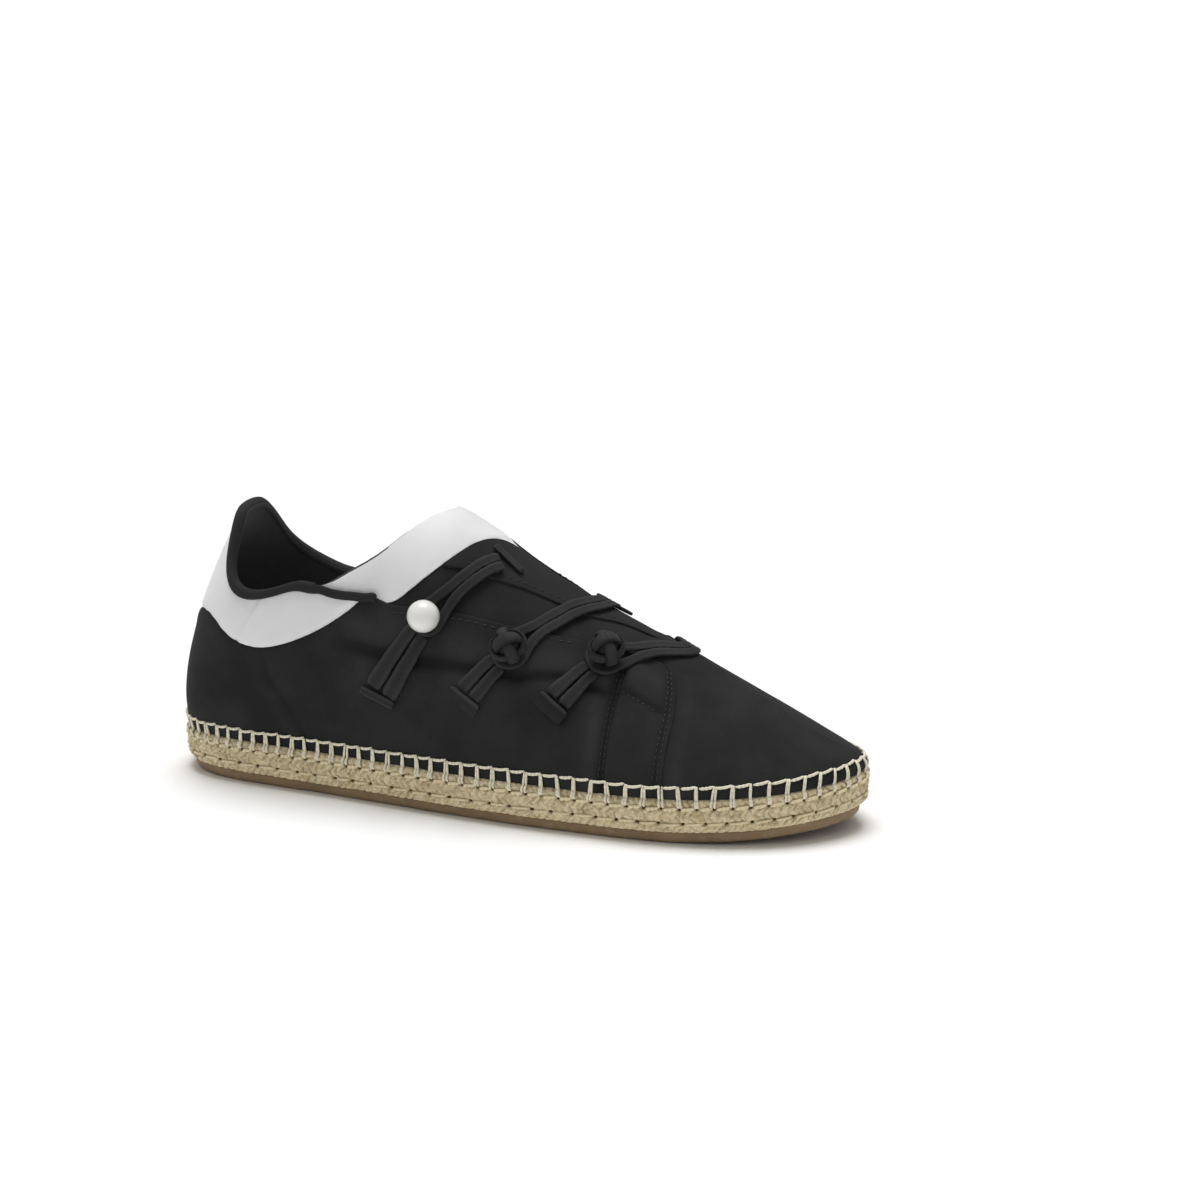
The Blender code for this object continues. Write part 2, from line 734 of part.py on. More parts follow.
def ball(radius, centre, out, along, across, rows=9, columns_round=14):
    """Rings of a ball on a short shank that reaches down to the skin."""
    rings = []
    shank = 1.5
    start = math.asin(shank / radius)
    heights = [-centre + LIFT] + [-radius * math.cos(t) for t in np.linspace(start, math.pi - 0.25, rows)]
    widths = [shank] + [radius * math.sin(t) for t in np.linspace(start, math.pi - 0.25, rows)]
    for height, width in zip(heights, widths):
        turns = np.linspace(0, 2 * math.pi, columns_round, endpoint=False)
        rings.append(
            out * (centre + height) + width * (np.cos(turns)[:, None] * along + np.sin(turns)[:, None] * across)
        )
    return skin_of_tube(rings)


def pearl(frog):
    base, out, along, across = foot_frame(frog["foot"])
    points, faces = ball(PEARL_RADIUS, PEARL_RADIUS + 1.8, out, along, across, 10, 18)
    return solid(frog["name"] + "_pearl", points + base, faces, "pearl", 60)


def torus(centre, axis, major, minor):
    """A strand of the ball knot, as a closed ring."""
    one = np.cross(axis, [0.3, 0.5, 0.81])
    one /= np.linalg.norm(one)
    two = np.cross(axis, one)
    rings = []
    for t in np.linspace(0, 2 * math.pi, 12, endpoint=False):
        spoke = one * math.cos(t) + two * math.sin(t)
        turns = np.linspace(0, 2 * math.pi, 5, endpoint=False)
        rings.append(centre + spoke * major + minor * (np.cos(turns)[:, None] * spoke + np.sin(turns)[:, None] * axis))
    return skin_of_tube(rings, closed=True)


def knot(frog):
    """Round woven button: a core on its shank with three crossing strands fused on."""
    base, out, along, across = foot_frame(frog["foot"])
    height = KNOT_RADIUS + 2.6
    points, faces = ball(KNOT_RADIUS, height, out, along, across, 7, 12)
    made = solid(frog["name"] + "_knot", points + base, faces, "cord", 60)
    axes = (out + 0.9 * along, out - 0.5 * along + 0.8 * across, out - 0.5 * along - 0.8 * across)
    for axis in axes:
        points, faces = torus(base + out * height, axis / np.linalg.norm(axis), KNOT_RADIUS - 0.5, STRAND_RADIUS)
        strand = solid("strand", points, faces, "cord")
        join = made.modifiers.new("strand", "BOOLEAN")
        join.operation = "UNION"
        join.solver = "EXACT"
        join.object = strand
        strand.hide_render = True
        strand.display_type = "WIRE"
    return made


def frog(parts):
    """Anchor bar, loop, button, two tail tapes, lower bar, and a folded end where there is one."""
    name = parts["name"]
    strip(name + "_anchor", parts["anchor"], (BAR_WIDTH, BAR_WIDTH), BAR_HEIGHT, 4)
    loop(parts, parts["reach"])
    if name == "frog_1":
        pearl(parts)
    else:
        knot(parts)
    foot = np.array(parts["foot"])
    middle = np.mean(parts["bar"], axis=0)
    length = np.linalg.norm(on_skin(*foot, 0) - on_skin(*middle, 0))
    start = foot + (middle - foot) * (parts["reach"] + CORD_WIDTH / 2 + 0.6) / length
    end = middle + (foot - middle) * (BAR_WIDTH / 2 + 1.0) / length
    narrow, wide = parts["tail"]
    for letter, sign in (("a", -1), ("b", 1)):
        shifts = (sign * (narrow / 2 + 0.3), sign * (wide / 2 + 0.4))
        strip(f"{name}_tail_{letter}", (start, end), (narrow, wide), TAPE_HEIGHT, 5, shifts)
    strip(name + "_bar", parts["bar"], (BAR_WIDTH, BAR_WIDTH), BAR_HEIGHT, 4)
    if parts["tab"]:
        away = (middle - foot) * (BAR_WIDTH / 2 + 2.2) / length
        ends = [np.array(mark) + away for mark in parts["bar"]]
        strip(name + "_tab", ends, (2.8, 2.8), 0.9, 4)


def heel_tab():
    """A small plain fabric tab sewn flat on the back of the heel."""
    rings = []
    for u in np.linspace(-0.022, 0.022, 6):
        corners = ((72.0, GAP), (79.0, GAP), (79.0, 1.3), (72.0, 1.3))
        across = -(1 - np.array([rise_at(abs(u), -1, height) for height, _ in corners]))
        depths = np.array([[depth] for _, depth in corners])
        rings.append(skin(u, across) + normal(u, across) * depths)
    points, faces = skin_of_tube(rings)
    return solid("heel_tab", points, faces, "cotton")


# ---------------------------------------------------------------- assembly


def settle():
    """Moves everything so that the origin is under the middle of the whole shoe, on the floor."""
    bpy.context.view_layer.update()
    shoe = [o for o in bpy.context.scene.objects if not o.hide_render]
    corners = np.concatenate([[v.co for v in o.data.vertices] for o in shoe])
    low, high = corners.min(axis=0), corners.max(axis=0)
    shift = (-(low[0] + high[0]) / 2, -(low[1] + high[1]) / 2, -low[2])
    for made in bpy.context.scene.objects:
        made.location = shift


def build():
    for old in list(bpy.data.objects):
        bpy.data.objects.remove(old)
    sole_layer("outsole", OUTSOLE_PROFILE, "rubber")
    sole_layer("midsole", JUTE_PROFILE, "jute", 29)
    sole_layer("insole", INSOLE_PROFILE, "lining", 24)
    upper()
    collar_binding()
    for parts in FROGS:
        frog(parts)
    heel_tab()
    settle()


build()
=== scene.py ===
"""A right shoe: black cotton on a jute rope sole, white satin round the collar, and three frog fastenings.

Sizes are in millimetres on the shoe's own last: X to the toe, Y to the medial side, Z up. Meshes are in
metres.
"""

import math

import bmesh
import bpy
import numpy as np
from mathutils import Matrix, Vector


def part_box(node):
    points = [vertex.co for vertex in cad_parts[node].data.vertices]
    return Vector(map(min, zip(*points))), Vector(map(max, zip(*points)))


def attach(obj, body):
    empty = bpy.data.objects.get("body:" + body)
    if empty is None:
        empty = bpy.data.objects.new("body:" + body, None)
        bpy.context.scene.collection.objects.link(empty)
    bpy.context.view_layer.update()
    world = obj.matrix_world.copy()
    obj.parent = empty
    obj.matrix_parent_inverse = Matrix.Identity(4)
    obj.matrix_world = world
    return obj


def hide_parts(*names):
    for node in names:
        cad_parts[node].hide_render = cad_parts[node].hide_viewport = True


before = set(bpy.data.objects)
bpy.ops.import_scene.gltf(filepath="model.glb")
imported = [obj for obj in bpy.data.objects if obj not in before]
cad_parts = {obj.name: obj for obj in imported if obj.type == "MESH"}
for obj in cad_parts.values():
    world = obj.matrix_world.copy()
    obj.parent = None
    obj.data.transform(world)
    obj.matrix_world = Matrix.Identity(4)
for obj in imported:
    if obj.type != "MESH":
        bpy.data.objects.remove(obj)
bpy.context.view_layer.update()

# ---------------------------------------------------------------- outsole
# A thin sheet of brown crepe rubber, cemented under the jute and cut a little inside its edge. The cut
# wanders, and the tread is a shallow moulded wave.

MM = 0.001
HALF = 135.0  # half the sole's length
WAY_STEPS = 1200  # steps in which each side of the plan is measured
OUTSOLE_RIBS, JUTE_RIBS, FOOTBED_RIBS, UPPER_RIBS = 361, 651, 181, 291  # how finely each piece is meshed
PLAN = (  # station, lateral edge, medial edge of the jute sole
    (-135, 0, 0), (-126, -22.5, 21.9), (-103, -30.5, 32.4), (-55, -35.4, 32.0), (-5, -41.2, 36.5),
    (40, -43.0, 44.5), (80, -40.6, 47.2), (113, -27.9, 35.8), (131, -8.5, 18.2), (135, 6.0, 6.0),
)
SPRING_START, SPRING_RISE = 55.0, 5.2
# Profiles of the sole's layers as height and set-back from the plan.
OUTSOLE_PROFILE = ((0.0, 4.6), (0.25, 3.7), (1.0, 3.1), (2.2, 2.8), (3.4, 2.7), (4.2, 2.9), (4.6, 3.4))
TREAD_BORDER, TREAD_DEPTH = 4.5, 0.7


def share_of(value, start, reach):
    """0 up to a start and 1 from a reach beyond it. A negative reach runs downwards."""
    return np.clip((value - start) / reach, 0, 1)


def hill(distance, width):
    """1 at no distance, falling away softly on both sides."""
    return np.exp(-((distance / width) ** 2))


def unit(vectors):
    return vectors / np.linalg.norm(vectors, axis=-1, keepdims=True)


def run_along(path):
    """Distance along each path to its points."""
    steps = np.linalg.norm(np.diff(path, axis=-2), axis=-1)
    return np.concatenate([np.zeros_like(steps[..., :1]), np.cumsum(steps, axis=-1)], -1)


def turn(station):
    """How far round the plan a station lies: 0 at the heel's end, 1 at the toe's."""
    return np.arccos(np.clip(-np.asarray(station, float) / HALF, -1, 1)) / np.pi


def station_of(u):
    return -HALF * np.cos(np.pi * np.asarray(u, float))


class Curve:
    """A natural or flat-ended cubic through a table's column, read by turn."""

    def __init__(self, table, column, flat_ends=True):
        rows = np.array(table, float)
        self.at, self.value = turn(rows[:, 0]), rows[:, column]
        step = np.diff(self.at)
        slope = np.diff(self.value) / step
        count = len(self.at)
        system, right = np.eye(count), np.zeros(count)
        for i in range(1, count - 1):
            system[i, i - 1 : i + 2] = step[i - 1], 2 * (step[i - 1] + step[i]), step[i]
            right[i] = 6 * (slope[i] - slope[i - 1])
        if flat_ends:
            system[0, :2], right[0] = (2 * step[0], step[0]), 6 * slope[0]
            system[-1, -2:], right[-1] = (step[-1], 2 * step[-1]), -6 * slope[-1]
        self.bend = np.linalg.solve(system, right)

    def __call__(self, u):
        u = np.clip(np.asarray(u, float), self.at[0], self.at[-1])
        i = np.clip(np.searchsorted(self.at, u) - 1, 0, len(self.at) - 2)
        width, near, far = self.at[i + 1] - self.at[i], u - self.at[i], self.at[i + 1] - u
        return (
            (self.bend[i] * far**3 + self.bend[i + 1] * near**3) / (6 * width)
            + (self.value[i] / width - self.bend[i] * width / 6) * far
            + (self.value[i + 1] / width - self.bend[i + 1] * width / 6) * near
        )


EDGE = {-1: Curve(PLAN, 1, False), 1: Curve(PLAN, 2, False)}


def of_side(curves, u, side):
    """A pair of curves read on the lateral (-1) or the medial side (1)."""
    return np.where(np.asarray(side) < 0, curves[-1](u), curves[1](u))


def plan(u, side):
    return np.stack(np.broadcast_arrays(station_of(u), of_side(EDGE, u, side)), -1)


def outward(u, side):
    """Unit normal of the plan, out of the shoe and level."""
    u, side = np.broadcast_arrays(u, side)
    step = 1e-3
    along = unit(plan(np.minimum(u + step, 1), side) - plan(np.maximum(u - step, 0), side))
    out = np.stack([-side * along[..., 1], side * along[..., 0], np.zeros_like(u)], -1)
    out = np.where((u < step)[..., None], [-1.0, 0.0, 0.0], out)
    return np.where((u > 1 - step)[..., None], [1.0, 0.0, 0.0], out)


def spring(x):
    """Rise of the sole towards the toe."""
    return SPRING_RISE * (np.clip(x - SPRING_START, 0, None) / (HALF - SPRING_START)) ** 2


def heel_lift(x, z):
    """The sole's back edge rolls up a little, and the feather line above it doesn't."""
    return 1.5 * (np.clip(-105.0 - x, 0, None) / 30.0) ** 2 * np.clip(1 - z / 17.0, 0, 1)


def of_way(way):
    """Turn and side of a way round the plan: 0 to 1 on the lateral side, and back to 2 on the medial."""
    return np.where(way <= 1, way, 2 - way), np.where(way <= 1, -1, 1)


WAY = np.linspace(0, 2, 2 * WAY_STEPS + 1)
RUN = run_along(plan(*of_way(WAY)))
ROUND = RUN[-1]


def round_sole(run):
    """Turn and side of a place so many millimetres round the sole, from the heel along the lateral side."""
    return of_way(np.interp(np.mod(run, ROUND), RUN, WAY))


def even_turns(ribs):
    """Turns of ribs evenly spaced along the lateral edge."""
    lateral = slice(WAY_STEPS + 1)
    return np.interp(np.linspace(0, RUN[WAY_STEPS], ribs), RUN[lateral], WAY[lateral])


def ring_of_ribs(ribs):
    """Turns, sides and runs of evenly spaced ribs, the lateral ones first, each with its partner across."""
    u = even_turns(ribs)
    back = u[-2:0:-1]
    runs = np.concatenate([np.interp(u, WAY, RUN), np.interp(2 - back, WAY, RUN)])
    return np.concatenate([u, back]), np.repeat([-1, 1], [ribs, ribs - 2]), runs


def grain(seed, across, along=0.0, cells=64):
    """Smooth noise from -1 to 1, the same each run; it closes after so many cells across."""
    table = np.random.default_rng(seed).uniform(-1, 1, (cells, 64))
    across, along = np.broadcast_arrays(across, along)
    i, j = np.floor(across).astype(int), np.floor(along).astype(int)
    s, t = across - i, along - j
    s, t = s * s * (3 - 2 * s), t * t * (3 - 2 * t)
    knots = [[table[np.mod(i + a, cells), np.mod(j + b, 64)] for a in (0, 1)] for b in (0, 1)]
    low, high = (near * (1 - s) + far * s for near, far in knots)
    return low * (1 - t) + high * t


def beside_plan(u, side, height, off):
    """Point at a height on the sole, pushed outwards of its plan by off, and the way out."""
    out = outward(u, side)
    point = np.concatenate([plan(u, side), np.zeros_like(u)[..., None]], -1) + out * off[..., None]
    point[..., 2] = height + spring(point[..., 0]) + heel_lift(point[..., 0], height)
    return point, out


def layer(profile, turns, sides, wander=0.0):
    """Rings of a sole layer from its side profile of heights and set-backs from the plan."""
    height, setback = np.array(profile).T[..., None]
    return beside_plan(turns, sides, height, -(setback + wander + 0 * turns))[0]


def numbered(points):
    """Each point's number in its mesh, laid out as the points are."""
    return np.arange(points[..., 0].size).reshape(points.shape[:-1])


def ring_faces(index, capped=True):
    """Quads between the closed rings of each tube, and a face over both its ends."""
    low, high = index[..., :-1, :], index[..., 1:, :]
    faces = np.stack([low, np.roll(low, -1, -1), np.roll(high, -1, -1), high], -1).reshape(-1, 4).tolist()
    if capped:
        for cap in (index[..., 0, ::-1], index[..., -1, :]):
            faces += cap.reshape(-1, index.shape[-1]).tolist()
    return faces


def slab(rings, rows, under=None, over=None):
    """A closed body from rings stacked upwards, with a lid of crossed rows at each end, shaped if asked."""
    index, half = numbered(rings), rings.shape[1] // 2
    faces = ring_faces(index, capped=False)
    points, total = [rings.reshape(-1, 3)], index.size
    share = np.linspace(0, 1, rows + 1)[1:-1]
    for ring, shape in ((0, under), (-1, over)):
        near, far = rings[ring][1:half, None], rings[ring][:half:-1, None]
        inner = near + (far - near) * share[:, None]
        if shape:
            inner = shape(inner, np.linalg.norm(inner - near, axis=-1), np.linalg.norm(far - inner, axis=-1))
        table = np.empty((half + 1, rows + 1), int)
        table[0], table[half] = index[ring, 0], index[ring, half]
        table[1:half, 0], table[1:half, -1] = index[ring, 1:half], index[ring, :half:-1]
        table[1:half, 1:-1] = total + numbered(inner)
        total += table[1:half, 1:-1].size
        points.append(inner.reshape(-1, 3))
        quads = np.stack([table[:-1, :-1], table[1:, :-1], table[1:, 1:], table[:-1, 1:]], -1).reshape(-1, 4)
        faces += [list(dict.fromkeys(quad)) for quad in quads.tolist()]
    return np.concatenate(points), faces


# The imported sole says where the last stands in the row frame.
low, high = (np.array(corner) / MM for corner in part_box("midsole"))
edge = plan(*ring_of_ribs(400)[:2])
STANDS = np.append((low + high)[:2] / 2 - (edge.min(0) + edge.max(0)) / 2, 0)


def piece(name, points, faces, finishes, slot, replaces=(), zones=None, **marks):
    """A closed mesh that rides on the shoe. Points in rings need no faces. Zones pick a finish per face, and
    marks are values kept per point."""
    data = bpy.data.meshes.new(name)
    faces = faces or ring_faces(numbered(points))
    data.from_pydata(((points.reshape(-1, 3) + STANDS) * MM).tolist(), [], faces)
    for finish in finishes:
        data.materials.append(finish.material)
    if zones is not None:
        data.polygons.foreach_set("material_index", np.asarray(zones, np.int32))
    for mark, values in marks.items():
        three = np.size(values) == 3 * len(data.vertices)
        held = data.attributes.new(mark, "FLOAT_VECTOR" if three else "FLOAT", "POINT")
        held.data.foreach_set("vector" if three else "value", np.asarray(values, np.float32).ravel())
    mesh = bmesh.new()
    mesh.from_mesh(data)
    bmesh.ops.remove_doubles(mesh, verts=mesh.verts, dist=2e-6)
    bmesh.ops.dissolve_degenerate(mesh, edges=mesh.edges, dist=1e-6)
    bmesh.ops.recalc_face_normals(mesh, faces=mesh.faces)
    mesh.to_mesh(data)
    mesh.free()
    data.shade_smooth()
    made = bpy.data.objects.new(name, data)
    bpy.context.scene.collection.objects.link(made)
    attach(made, "root")
    if replaces:
        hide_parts(*replaces)
    return made


class Tone:
    """A value in a finish; arithmetic on it adds Math nodes."""

    def __init__(self, finish, socket):
        self.finish, self.socket = finish, socket

    def __add__(self, other):
        return self.finish.math("ADD", self, other)

    def __mul__(self, other):
        return self.finish.math("MULTIPLY", self, other)

    __radd__, __rmul__ = __add__, __mul__


def pick(sockets, key):
    """A live socket by its number or its name."""
    live = [socket for socket in sockets if socket.enabled]
    return live[key] if isinstance(key, int) else next(socket for socket in live if socket.name == key)


class Finish:
    """A material. What is the same all over is set on its shader; what varies is wired to it."""

    def __init__(self, name, **constants):
        self.material = bpy.data.materials.new(name)
        self.material.use_nodes = True
        self.tree = self.material.node_tree
        self.shader = self.tree.nodes["Principled BSDF"]
        for socket, value in constants.items():
            self.shader.inputs[socket.replace("_", " ")].default_value = value
        self.place = self.node("TexCoord", {}, {}, "Object")

    def node(self, kind, settings, sockets, output=0):
        made = self.tree.nodes.new("ShaderNode" + kind)
        for key, value in settings.items():
            setattr(made, key, value)
        for key, value in sockets.items():
            if isinstance(value, Tone):
                self.tree.links.new(value.socket, pick(made.inputs, key))
            else:
                pick(made.inputs, key).default_value = value
        return Tone(self, pick(made.outputs, output))

    def math(self, operation, *values):
        return self.node("Math", {"operation": operation}, dict(enumerate(values)))

    def mix(self, mask, low, high, blend="MIX"):
        kind = {"data_type": "RGBA", "blend_type": blend}
        return self.node("Mix", kind, {"Factor": mask, "A": low, "B": high})

    def noise(self, scale, detail=2.0, roughness=0.5, stretch=(1, 1, 1), where=None):
        where = self.node("VectorMath", {"operation": "MULTIPLY"}, {0: where or self.place, 1: stretch})
        sockets = {"Vector": where, "Scale": scale, "Detail": detail, "Roughness": roughness}
        return self.node("TexNoise", {}, sockets)

    def ramp(self, value, low, high):
        kind = {"interpolation_type": "SMOOTHSTEP"}
        return self.node("MapRange", kind, {"Value": value, "From Min": low, "From Max": high})

    def mark(self, name, output="Fac"):
        return self.node("Attribute", {"attribute_name": name}, {}, output)

    def bump(self, height, millimetres, strength):
        return self.node("Bump", {}, {"Height": height, "Distance": millimetres * MM, "Strength": strength})

    def wear(self, **varying):
        for socket, value in varying.items():
            self.tree.links.new(value.socket, self.shader.inputs[socket.replace("_", " ")])


def paint(*shade):
    """A shade as it looks on a screen, red, green and blue or one grey, for a shader."""
    return *(((c / 255 + 0.055) / 1.055) ** 2.4 for c in shade * (3 // len(shade))), 1.0


rubber = Finish("crepe rubber", Roughness=0.72)
crumb = rubber.noise(1400, 3, 0.6)
stain = rubber.noise(70, 3)
scuff = rubber.ramp(rubber.noise(260, 4, 0.65), 0.5, 0.72)
tan = rubber.mix(stain, paint(124, 102, 76), paint(156, 132, 100))
rubber.wear(
    Base_Color=rubber.mix(scuff * 0.5, tan, paint(172, 156, 130)),
    Roughness=0.62 + crumb * 0.25,
    Normal=rubber.bump(crumb * 0.5 + scuff * 0.5, 0.25, 0.6),
)

turns, sides, runs = ring_of_ribs(OUTSOLE_RIBS)
cut = 0.25 * grain(3, runs / ROUND * 60, cells=60) + 0.12 * grain(4, runs / ROUND * 240, cells=240)


def tread(inner, from_lateral, from_medial):
    """The sole's underside: moulded waves, with a plain border."""
    border = share_of(np.minimum(from_lateral, from_medial), TREAD_BORDER, 1.5)
    wave = 0.5 + 0.5 * np.sin((inner[..., 0] + 2.2 * np.sin(inner[..., 1] * 0.55)) * 1.3)
    inner[..., 2] += border * TREAD_DEPTH * np.clip(wave * 1.6 - 0.3, 0, 1)
    return inner


points, faces = slab(layer(OUTSOLE_PROFILE, turns, sides, cut), 44, under=tread)
piece("outsole_rubber", points, faces, [rubber], "rubber", ["outsole"])

# ---------------------------------------------------------------- jute sole
# Braided jute rope laid round and round, stitched through along two seams. The side is three rows of slanting
# strands pulled in at the seams, with a hole at each stitch and loose fibres all over; each hole and the low
# places between the strands are painted darker as shade.

SEAMS = (8.1, 13.9)
COURSE_MIDDLE = 11.0  # height of the middle row's middle, where its strands turn back
STRANDS = 214
LEG_COUNT, LOW_COUNT = 101, 74  # stitches round the upper and the lower seam
LEG_GAPS = ((0, 0.1, 0.3, 0.7, 0.9, 1), (5.3, 6.2, 7.3, 7.3, 6.2, 5.3))  # share of the way round, and gap
HOLE_DROP, HOLE_SHIFT = 0.35, 0.35  # the upper seam's holes lie below its stitches and past them
FIBRE_COUNT = 2300
JUTE_PROFILE = (
    (4.3, 2.6), (4.6, 1.2), (5.6, 0.35), (7.0, 0.1), (8.1, 0.45), (9.3, 0.0), (11.0, -0.1), (12.7, 0.05),
    (13.9, 0.5), (14.9, 0.15), (15.9, 0.4), (16.7, 1.2), (17.1, 2.2),
)

# Places round the sole of the blanket stitch's legs, which the upper seam keeps to, and the lower holes.
leg, low_stitch = np.arange(LEG_COUNT), np.arange(LOW_COUNT)
gaps = np.interp(leg / LEG_COUNT, *LEG_GAPS) * (1 + 0.07 * grain(11, leg * 1.7))
LEGS = np.cumsum(gaps * ROUND / gaps.sum())
LOW_HOLES = low_stitch * ROUND / LOW_COUNT + 1.1 * grain(12, low_stitch * 1.3)


def read(table, at):
    """A table's second column, read straight between its rows."""
    return np.interp(at, *np.array(table, float).T)


def nearest(run, places):
    """Distance round the sole to the nearest of some places."""
    around = np.sort(np.concatenate([places - ROUND, places, places + ROUND]))
    i = np.clip(np.searchsorted(around, run), 1, len(around) - 1)
    return np.minimum(np.abs(run - around[i - 1]), np.abs(around[i] - run))


def holes(run, height):
    """How deep a point lies in a stitch hole, from 0 to 1."""
    deep = np.zeros(np.broadcast(run, height).shape)
    for seam, places in ((SEAMS[0], LOW_HOLES), (SEAMS[1] - HOLE_DROP, LEGS + HOLE_SHIFT)):
        aside = nearest(run, places) / (0.78 + 0.3 * grain(25, run * 0.31, height))
        deep = np.maximum(deep, np.exp(-(aside**2) - ((height - seam) / 0.5) ** 2))
    return deep


def rope(run, height):
    """Relief of the braid's side over the profile."""
    way = run / ROUND
    slant = np.where(((height > COURSE_MIDDLE) & (height < SEAMS[1])) | (height < 8), -1, 1)
    wobble = 1.1 * grain(21, way * 170, height / 3, 170)
    strand = np.abs(np.sin(np.pi * way * STRANDS + slant * (height - COURSE_MIDDLE) * 0.8 + wobble)) ** 0.6
    between = np.minimum(np.abs(height - SEAMS[0]), np.abs(height - SEAMS[1]))
    uneven = 1 + 0.4 * grain(24, way * 90, height / 3, 90)
    braid = (0.85 * strand - 0.6) * np.clip(between / 0.9, 0.15, 1) * uneven
    tuft = grain(22, way * 620, height * 1.5, 620)
    lump = grain(23, way * 110, height / 2, 110)
    return braid + 0.2 * tuft + 0.3 * lump - 1.2 * holes(run, height)


def sole_wall(run, height, off):
    """Point on the jute's side, pushed outwards by off, and the way out."""
    return beside_plan(*round_sole(run), height, off - read(JUTE_PROFILE, height))


def laid_out(along, across):
    """How far along and across its threads or fibres each point lies."""
    return np.stack(np.broadcast_arrays(along, across, 0.0), -1).reshape(-1, 3)


jute = Finish("jute rope", Roughness=0.93, Specular_IOR_Level=0.2)
lay = jute.mark("lay", "Vector")
fibre = jute.noise(1.0, 3, 0.7, (0.55, 2.6, 1), lay)
other = jute.noise(1.0, 3, 0.7, (2.4, 0.8, 1), lay)
speck = jute.noise(1900, 2, 0.6)
fibres = jute.math("MAXIMUM", fibre, other)
straw = jute.mix(jute.ramp(fibres, 0.42, 0.74), paint(228, 208, 163), paint(255, 249, 222))
straw = jute.mix(jute.ramp(speck, 0.56, 0.72) * 0.5, straw, paint(150, 128, 90))
# Painted shade: the sunk mark darkens the low places between the strands.
straw = jute.mix(jute.ramp(jute.mark("sunk"), 0.1, 0.9) * 0.45, straw, paint(132, 110, 72))
straw = jute.mix(jute.ramp(jute.noise(230, 2), 0.45, 0.7) * 0.4, straw, paint(196, 170, 116))
jute.wear(
    # Painted shade: the hole mark darkens the jute inside each stitch hole.
    Base_Color=jute.mix(jute.ramp(jute.mark("hole"), 0.12, 0.6), straw, paint(92, 74, 44)),
    Normal=jute.bump(fibres * 0.6 + speck * 0.4, 0.7, 1.0),
)

turns, sides, runs = ring_of_ribs(JUTE_RIBS)
heights = np.concatenate([[4.3, 4.45], np.arange(4.7, 16.6, 0.45), [16.7, 16.9, 17.1]])[:, None] + 0 * runs
relief, pits = rope(runs, heights), holes(runs, heights)
ragged = heights + 0.3 * grain(31, runs / ROUND * 150, cells=150) * share_of(heights, 6.0, -1.7)
points, faces = slab(sole_wall(runs, ragged, relief)[0], 6)
lids = len(points) - heights.size
lay = np.concatenate([laid_out(runs, heights), points[-lids:]])
# pits and dips mark where shade is painted into the jute: inside the stitch holes and in the low places
# between strands.
pits, dips = (np.pad(depth.ravel(), (0, lids)) for depth in (pits, np.clip(0.15 - relief, 0, 1)))
piece("jute_sole", points, faces, [jute], "jute", ["midsole"], hole=pits, sunk=dips, lay=lay)


def circle(count):
    """Evenly spaced angles once round."""
    return np.linspace(0, 2 * np.pi, count, endpoint=False)


def ribbon(paths, outs):
    """Unit vectors across each path along its surface, and up from the surface."""
    along = unit(np.gradient(paths, axis=-2))
    across = unit(np.cross(outs, along))
    return across, np.cross(along, across)


def threads(paths, outs, widths, heights, sides, twist=0.0):
    """Closed tubes along paths of equal length, laid flat on the surface, with two twisted plies if asked."""
    paths, outs = (np.asarray(given, float).reshape(-1, *np.shape(given)[-2:]) for given in (paths, outs))
    across, up = ribbon(paths, outs)
    spin = circle(sides)
    run = run_along(paths)
    ply = 1 + (0.16 * np.cos(2 * (spin - run[..., None] * twist)) if twist else 0.0)
    wide, high = (np.broadcast_to(size, run.shape)[..., None] / 2 * ply for size in (widths, heights))
    wide, high = wide * np.cos(spin), high * np.sin(spin)
    points = paths[:, :, None] + wide[..., None] * across[:, :, None] + high[..., None] * up[:, :, None]
    laid = laid_out(run[..., None], spin * (np.mean(widths) / 2))
    return points.reshape(-1, 3), ring_faces(numbered(points)), laid


straw_fibre = Finish("loose jute fibre", Roughness=0.9)
shade = straw_fibre.mix(straw_fibre.noise(420, 2), paint(150, 126, 82), paint(236, 224, 190))
straw_fibre.wear(Base_Color=shade)
dice = np.random.default_rng(5)
count = FIBRE_COUNT
where, level = dice.uniform(0, ROUND, count), dice.uniform(4.8, 16.9, count)
lean = dice.choice([-0.8, 0.7, 0.15, 2.2], count) + dice.normal(0, 0.3, count)
length = dice.uniform(1.2, 4.2, count)
ends = np.linspace(-1, 1, 4) ** 2
step = np.linspace(-0.5, 0.5, 4) * length[:, None]
bow = 0.5 * dice.normal(0, 1, count)[:, None] * ends
reach = where[:, None] + step * np.cos(lean)[:, None]
rise = np.clip(level[:, None] + step * np.sin(lean)[:, None] + bow, 4.5, 17.0)
off = rope(reach, rise) + 0.1 + dice.uniform(0, 0.5, count)[:, None] * ends
paths, outs = sole_wall(reach, rise, off)
points, faces, _ = threads(paths, outs, [0.09, 0.16, 0.14, 0.05], [0.09, 0.14, 0.12, 0.05], 3)
piece("jute_fibres", points, faces, [straw_fibre], "jute")

# ---------------------------------------------------------------- footbed
# A thin foam sock covered in black twill, lying on the jute inside the upper, with a rounded edge and a
# dished heel.

FOOTBED_PROFILE = ((17.0, 5.4), (17.1, 4.6), (17.8, 4.0), (18.6, 3.9), (19.3, 4.2), (19.8, 5.2), (19.9, 6.4))
CROWN, CROWN_BORDER = 0.9, 9.0
DISH = (-90, 34, 20)  # station of the heel's dish, its length and its width
SLUB = 0.35  # how much of a cloth's mottle runs along its threads


